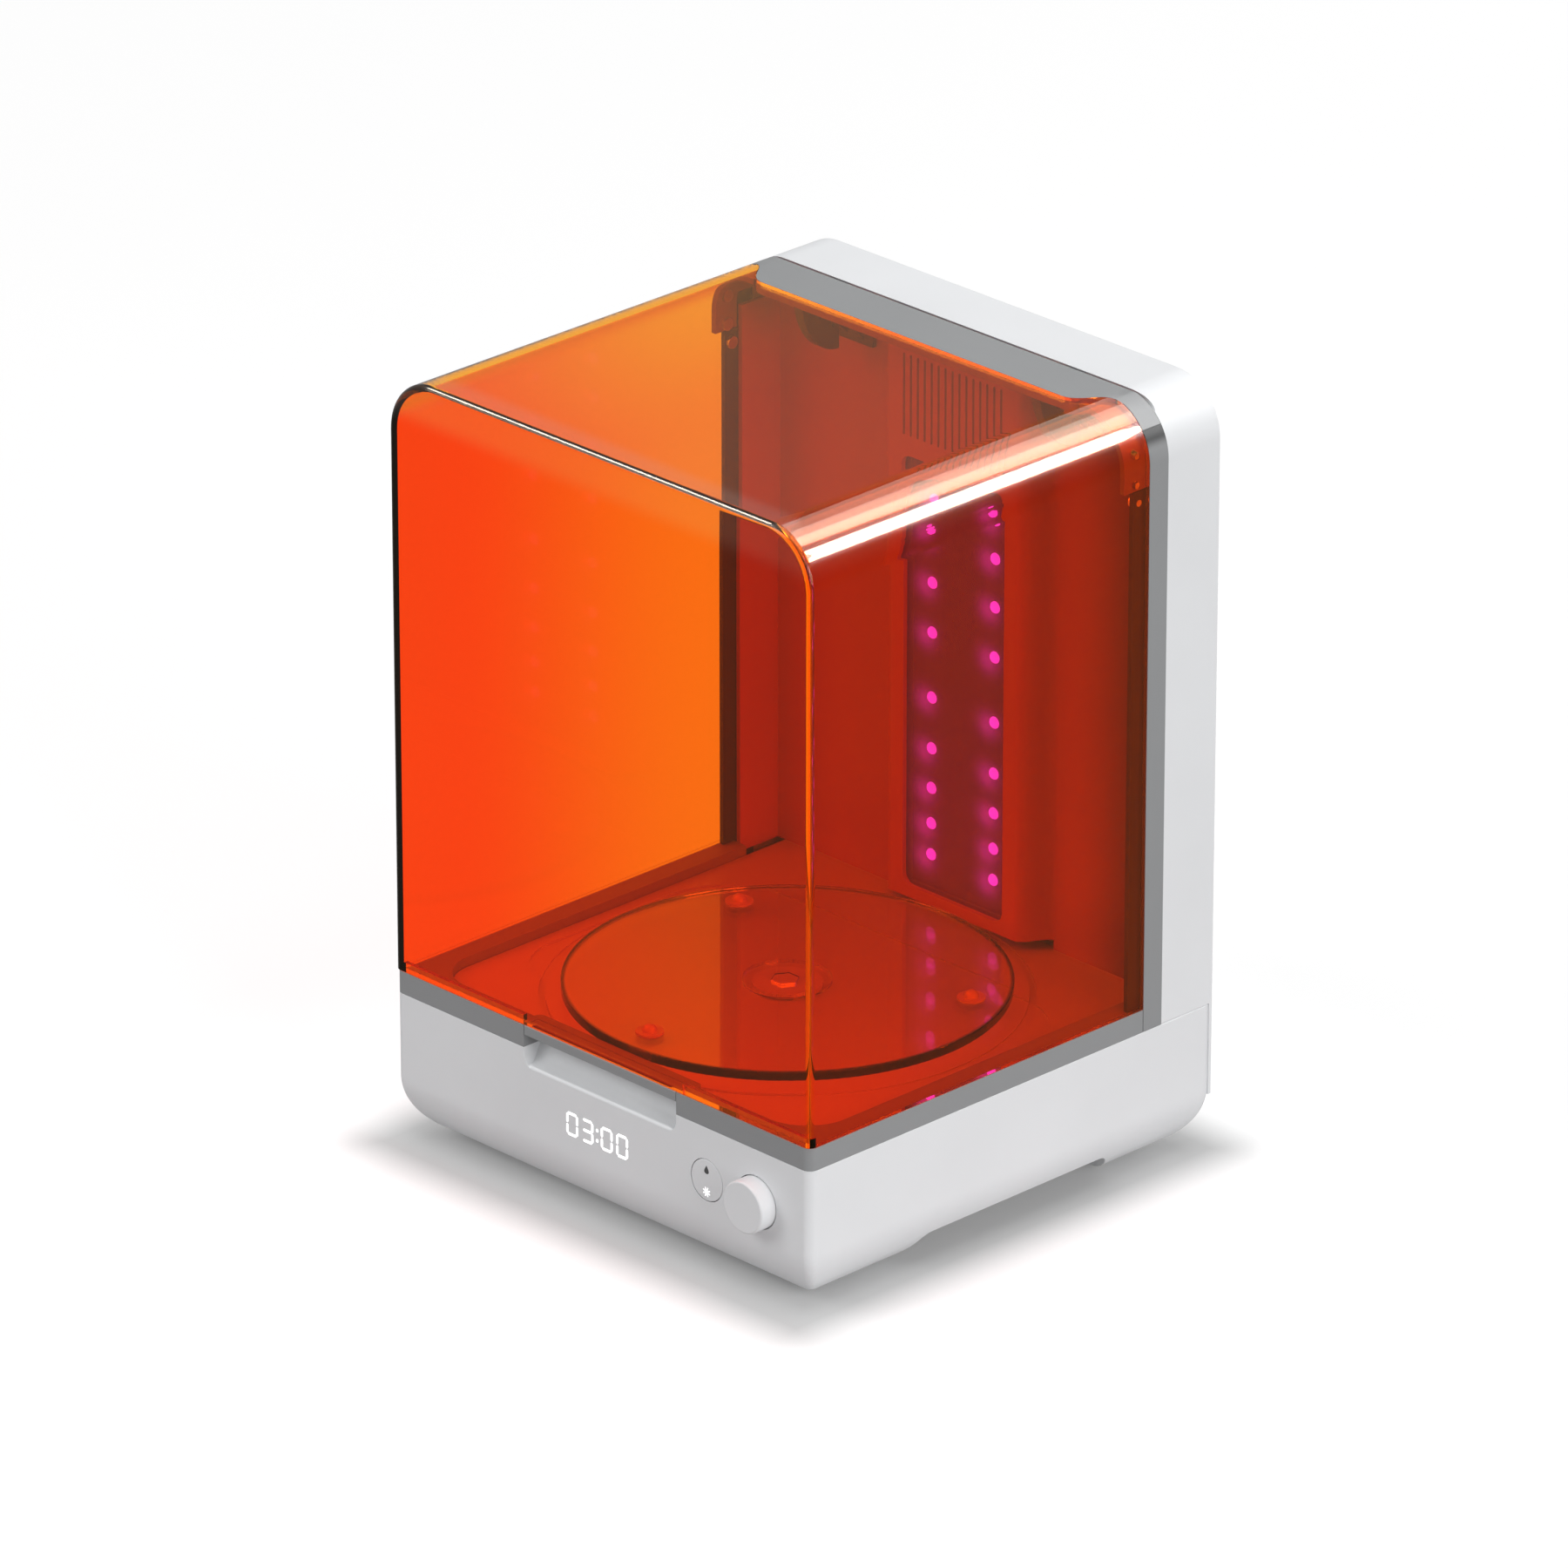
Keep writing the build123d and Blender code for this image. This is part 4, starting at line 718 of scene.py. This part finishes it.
class STATION_OT_inner(Operator):
    """Dress the inner pieces, screws, boards and feet"""

    bl_idname = "station.inner"
    bl_label = "Inner pieces"

    def execute(self, context):
        dark = moulded("dark_plastic", (0.035, 0.035, 0.038), 0.4)
        steel = metal("brushed_steel", (0.62, 0.62, 0.63), 0.3)
        alloy = metal("heat_sink_alloy", (0.75, 0.75, 0.76), 0.35, (900.0, 900.0, 30.0))
        board = circuit_board("board_green", (0.015, 0.11, 0.05))
        soft = rubber("foot_rubber", (0.03, 0.03, 0.03))
        post = moulded("post_plastic", (0.6, 0.6, 0.61), 0.5)
        groups = [
            (dark, "hinge_arm_left hinge_arm_right encoder button_guide button_switch lid_sensor"),
            (dark, "drive_motor hinge_bracket_left hinge_bracket_right"),
            (dark, "fan_frame fan_rotor power_inlet display_module"),
            (steel, "motor_bracket hub_bearing plate_screws bracket_screws"),
            (steel, "lip_screws hood_screws panel_screws hinge_pins encoder_shaft lid_magnet"),
            (alloy, "heat_sink"),
            (board, "led_board main_board control_board"),
            (soft, "rubber_feet lid_bumpers"),
            (post, "panel_posts board_posts board_clips drive_spindle"),
        ]
        for material, names in groups:
            for node in names.split():
                wear_node(node, material)
        return {"FINISHED"}


def wear_node(node, material):
    """Put a material into every slot of a CAD node's object."""
    target = frame["nodes"][node]
    for slot in target.material_slots:
        slot.link = "OBJECT"
        slot.material = material
    if not target.material_slots:
        raise RuntimeError("no material slot on " + node)


def lamp_centres():
    """Centre of each lamp chip, from the chips' own corners."""
    points = np.unique(np.round(corners_of(frame["nodes"]["leds"].data), 5), axis=0)
    centres = []
    while len(points):
        near = np.abs(points[:, [0, 2]] - points[0, [0, 2]]).max(axis=1) < 5 * MM
        centres.append((points[near].min(axis=0) + points[near].max(axis=0)) / 2)
        points = points[~near]
    return np.array(centres)


class STATION_OT_lamps(Operator):
    """Make the round lamp lenses with their glow and the smoked window with its painted glow"""

    bl_idname = "station.lamps"
    bl_label = "Lamps"

    def execute(self, context):
        colours = context.scene.station_colours
        sizes = context.scene.station_sizes
        glow = tuple(colours.lamp)
        centres = lamp_centres()
        low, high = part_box("leds")
        radius = sizes.lens_radius
        rise = high[1] - low[1]
        lenses = surface("led_lenses", [dome((c[0], high[1], c[2]), radius, rise) for c in centres])
        wear(lenses, glowing("led_lens", (0.6, 0.5, 0.8), glow, sizes.lamp_strength))
        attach(lenses, "station")
        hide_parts("leds")
        # Window: a plate on a grid, each point keeping a painted glow from how near the lamps are
        low, high = (np.asarray(corner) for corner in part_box("led_window"))
        inner = np.empty((WINDOW_ROWS, WINDOW_COLUMNS, 3))
        inner[..., 0] = np.linspace(low[0], high[0], WINDOW_COLUMNS)
        inner[..., 1] = low[1]
        inner[..., 2] = np.linspace(low[2], high[2], WINDOW_ROWS)[:, None]
        rim = np.vstack([inner[0], inner[1:-1, -1], inner[-1, ::-1], inner[-2:0:-1, 0]])
        back = rim.copy()
        back[:, 1] = high[1]
        middle = np.broadcast_to(back.mean(axis=0), back.shape)
        window = surface("lamp_window", [inner], closed_u=False, finish=False)
        skirt = surface("lamp_window_rim", [np.stack([rim, back, middle])], finish=False)
        window = joined("lamp_window", [window, skirt])
        gap = np.linalg.norm(corners_of(window.data)[:, None, [0, 2]] - centres[None, :, [0, 2]], axis=-1)
        spot = np.exp(-((gap / (SPOT_SPREAD * radius)) ** 2)).sum(axis=1)
        veil = VEIL_SHARE * np.exp(-gap / (VEIL_SPREAD * radius)).sum(axis=1)
        stored = window.data.attributes.new("painted_glow", "FLOAT", "POINT")
        stored.data.foreach_set("value", (spot + veil).astype(np.float32))
        wear(window, smoked_window("window_clear", glow))
        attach(window, "station")
        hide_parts("led_window")
        return {"FINISHED"}


def joined(name, pieces):
    """Several meshes as one, their doubles merged and normals outwards."""
    points = []
    faces = []
    start = 0
    for piece in pieces:
        mesh = piece.data
        points.append(corners_of(mesh))
        faces.extend([[k + start for k in face.vertices] for face in mesh.polygons])
        start += len(mesh.vertices)
        bpy.data.objects.remove(piece)
        bpy.data.meshes.remove(mesh)
    mesh = bpy.data.meshes.new(name)
    mesh.from_pydata(np.vstack(points).tolist(), [], faces)
    mesh.validate()
    tidy_mesh(mesh, SMOOTH_ANGLE)
    return linked(name, mesh)


def segment(centre, length, stroke, upright):
    """Six-cornered bar of a timer digit: a rectangle whose ends come to a point."""
    half = length / 2
    tip = stroke / 2
    side = half - tip
    flat = np.array([(-half, 0), (-side, -tip), (side, -tip), (half, 0), (side, tip), (-side, tip)])
    if upright:
        flat = flat[:, ::-1] * np.array([-1.0, 1.0])
    return rounded_outline(flat, stroke * 0.16, 4) + np.asarray(centre)


# Lit bars of each figure: a top, b and c right, d bottom, e and f left, g middle
SEGMENTS = {"0": "abcdef", "3": "abcdg"}


def digit_outlines(figure, left, middle, width, height, stroke):
    """Outlines of the lit bars of one digit."""
    x0 = left + stroke / 2
    x1 = left + width - stroke / 2
    z0 = middle - height / 2 + stroke / 2
    z1 = middle + height / 2 - stroke / 2
    across = x1 - x0
    up = (z1 - z0) / 2
    places = {
        "a": (((x0 + x1) / 2, z1), across, False),
        "b": ((x1, middle + up / 2), up, True),
        "c": ((x1, middle - up / 2), up, True),
        "d": (((x0 + x1) / 2, z0), across, False),
        "e": ((x0, middle - up / 2), up, True),
        "f": ((x0, middle + up / 2), up, True),
        "g": (((x0 + x1) / 2, middle), across, False),
    }
    bars = [places[key] for key in SEGMENTS[figure]]
    return [segment(centre, length - DIGIT_SINK, stroke, upright) for centre, length, upright in bars]


class STATION_OT_timer(Operator):
    """Make the lit digits of the timer"""

    bl_idname = "station.timer"
    bl_label = "Timer digits"

    def execute(self, context):
        sizes = context.scene.station_sizes
        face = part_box("base_shell")[0][1]
        low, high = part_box("display_module")
        middle = (low[2] + high[2]) / 2
        size = (sizes.digit_width, sizes.digit_height, sizes.digit_stroke)
        outlines = []
        for figure, left in zip(DIGITS, DIGIT_STARTS):
            outlines.extend(digit_outlines(figure, left, middle, *size))
        for rise in (-DOT_RISE, DOT_RISE):
            outlines.append(ring(DOT_PLACE, middle + rise, DOT_RADIUS, 24))
        grids = [plate(outline, face - 0.05 * MM, face + SIGN_DEPTH, 0.04 * MM) for outline in outlines]
        piece = surface("timer_digits", grids)
        wear(piece, glowing("digit_light", (0.9, 0.9, 0.9), WHITE, 1.1))
        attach(piece, "station")
        return {"FINISHED"}


class STATION_OT_icons(Operator):
    """Make the drop and the sun on the button"""

    bl_idname = "station.icons"
    bl_label = "Button icons"

    def execute(self, context):
        sizes = context.scene.station_sizes
        low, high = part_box("mode_button")
        face = low[1]
        x = (low[0] + high[0]) / 2 + ICON_SHIFT
        z = (low[2] + high[2]) / 2
        size = sizes.icon_size
        # Drop: the half-width at angle t is w sin t sin(t/2)^1.5, the height falls as cos t
        t = turns(48)
        wide = 0.60 * size * np.sin(t) * np.abs(np.sin(t / 2)) ** 1.5
        drop = np.stack([x + wide, z + DROP_RISE + 0.62 * size * np.cos(t)], axis=1)
        piece = surface("drop_icon", [plate(drop, face - 0.03 * MM, face + SIGN_DEPTH, 0.02 * MM)])
        wear(piece, moulded("icon_ink", (0.07, 0.07, 0.07), 0.45))
        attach(piece, "button")
        # Sun: bars set round a small disc
        grids = []
        bar = np.array([(0.10, -0.07), (0.70, -0.07), (0.70, 0.07), (0.10, 0.07)]) * size
        outline = rounded_outline(bar, 0.06 * size, 4)
        for turn in turns(sizes.sun_rays) + math.radians(SUN_TURN):
            c, s = math.cos(turn), math.sin(turn)
            ray = outline @ np.array([[c, s], [-s, c]]) + (x, z - SUN_DROP)
            grids.append(plate(ray, face - 0.03 * MM, face + SIGN_DEPTH, 0.02 * MM))
        disc = ring(x, z - SUN_DROP, 0.21 * size, 48)
        grids.append(plate(disc, face - 0.035 * MM, face + SIGN_DEPTH, 0.02 * MM))
        piece = surface("sun_icon", grids)
        wear(piece, glowing("sun_light", (0.9, 0.9, 0.9), WHITE, 1.0))
        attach(piece, "button")
        return {"FINISHED"}


def softbox(name, place, toward, size, power, lights):
    """A rectangular lamp that looks along a direction, its second side along +Y where it can.

    lights says what it reaches: all, the gloss alone or the matt part alone.
    """
    data = bpy.data.lights.new(name, "AREA")
    data.shape = "RECTANGLE"
    data.size, data.size_y = size
    data.energy = power
    back = -np.asarray(toward, dtype=float)
    back /= np.linalg.norm(back)
    across = np.cross((1.0, 0.0, 0.0) if abs(back[1]) > 0.99 else (0.0, 1.0, 0.0), back)
    across /= np.linalg.norm(across)
    axes = np.stack([across, np.cross(back, across), back], axis=1)
    lamp = linked(name, data)
    lamp.rotation_euler = Matrix(axes.tolist()).to_euler()
    lamp.location = place
    lamp.visible_diffuse = lights != "gloss"
    lamp.visible_glossy = lights != "matt"


class STATION_OT_stage(Operator):
    """Make the camera, the floor, the lamps and the pale surroundings"""

    bl_idname = "station.stage"
    bl_label = "Stage"

    def execute(self, context):
        scene = context.scene
        camera_data = bpy.data.cameras.new("photo_camera")
        camera_data.sensor_width = 36.0
        camera_data.lens = CAMERA_LENS
        camera_data.clip_end = 60.0
        camera = linked("photo_camera", camera_data)
        camera.location = CAMERA_PLACE
        camera.rotation_euler = (math.radians(90.0 - CAMERA_DIP), 0.0, math.radians(CAMERA_TURN))
        scene.camera = camera
        scene.view_settings.view_transform = "Standard"

        side = np.linspace(-FLOOR_REACH, FLOOR_REACH, 15)
        grid = np.zeros((len(side), len(side), 3))
        grid[..., 0] = side
        grid[..., 1] = side[:, None]
        floor = surface("floor", [grid], closed_u=False)
        f = Finish("floor_pale")
        x, y, z = f.axes()
        beside = (x.size() - BOX_HIGH[0]).top(0.0)
        before = (y.size() - BOX_HIGH[1]).top(0.0)
        gap = (beside * beside + before * before) ** 0.5
        # Painted contact shadow: close to the body the floor's glow falls to nothing and its paper is
        # lighter, so it reads grey
        away = gap.between(TONE_START, TONE_END)
        far = gap.between(WHITE_START, WHITE_END)
        cloud = f.noise(3.0, 2.0)
        tone = f.blend(away * 0.9 + cloud * 0.1, (0.52, 0.52, 0.52), (0.34, 0.34, 0.34))
        tone = f.blend(far, tone, (0.0, 0.0, 0.0))
        paper = f.add("ShaderNodeBsdfDiffuse", None, {"Color": tone})
        glow = gap.between(SHADE_START, SHADE_END) * FLOOR_LIFT + far * (1.0 - FLOOR_LIFT)
        seen = f.rays("Camera", "Glossy", "Transmission") * glow
        lift = f.add("ShaderNodeEmission", None, {"Color": WHITE, "Strength": seen})
        wear(floor, f.done(f.add("ShaderNodeAddShader", None, [paper, lift])))
        floor.visible_glossy = False

        world = bpy.data.worlds.new("pale_room")
        scene.world = world
        world.use_nodes = True
        room = Finish.of_world(world)
        seen = room.rays("Camera", "Transmission")
        strength = seen.top(room.rays("Glossy") * SEEN_IN_GLOSS).top(room.rays("Diffuse") * SEEN_BY_MATT)
        sky = room.add("ShaderNodeBackground", None, {"Color": WHITE, "Strength": strength})
        out = room.tree.nodes.new("ShaderNodeOutputWorld")
        room.tree.links.new(sky.socket, out.inputs["Surface"])

        for lamp in LAMPS:
            softbox(*lamp)
        return {"FINISHED"}


class STATION_PT_panel(Panel):
    """The properties and a button for each operator"""

    bl_label = "Curing station"
    bl_idname = "STATION_PT_panel"
    bl_space_type = "VIEW_3D"
    bl_region_type = "UI"
    bl_category = "Station"

    def draw(self, context):
        layout = self.layout
        for group in (context.scene.station_colours, context.scene.station_sizes):
            for name in group.__annotations__:
                layout.prop(group, name)
        for operator in OPERATORS:
            layout.operator(operator.bl_idname)


OPERATORS = (
    STATION_OT_shells,
    STATION_OT_hood,
    STATION_OT_chamber,
    STATION_OT_inner,
    STATION_OT_lamps,
    STATION_OT_timer,
    STATION_OT_icons,
    STATION_OT_stage,
)
CLASSES = (StationColours, StationSizes, *OPERATORS, STATION_PT_panel)


def register():
    for item in CLASSES:
        bpy.utils.register_class(item)
    bpy.types.Scene.station_colours = PointerProperty(type=StationColours)
    bpy.types.Scene.station_sizes = PointerProperty(type=StationSizes)


def unregister():
    del bpy.types.Scene.station_sizes
    del bpy.types.Scene.station_colours
    for item in reversed(CLASSES):
        bpy.utils.unregister_class(item)


def main():
    """Run every operator in order."""
    register()
    bpy.ops.station.shells()
    bpy.ops.station.hood()
    bpy.ops.station.chamber()
    bpy.ops.station.inner()
    bpy.ops.station.lamps()
    bpy.ops.station.timer()
    bpy.ops.station.icons()
    bpy.ops.station.stage()


if __name__ == "__main__":
    main()
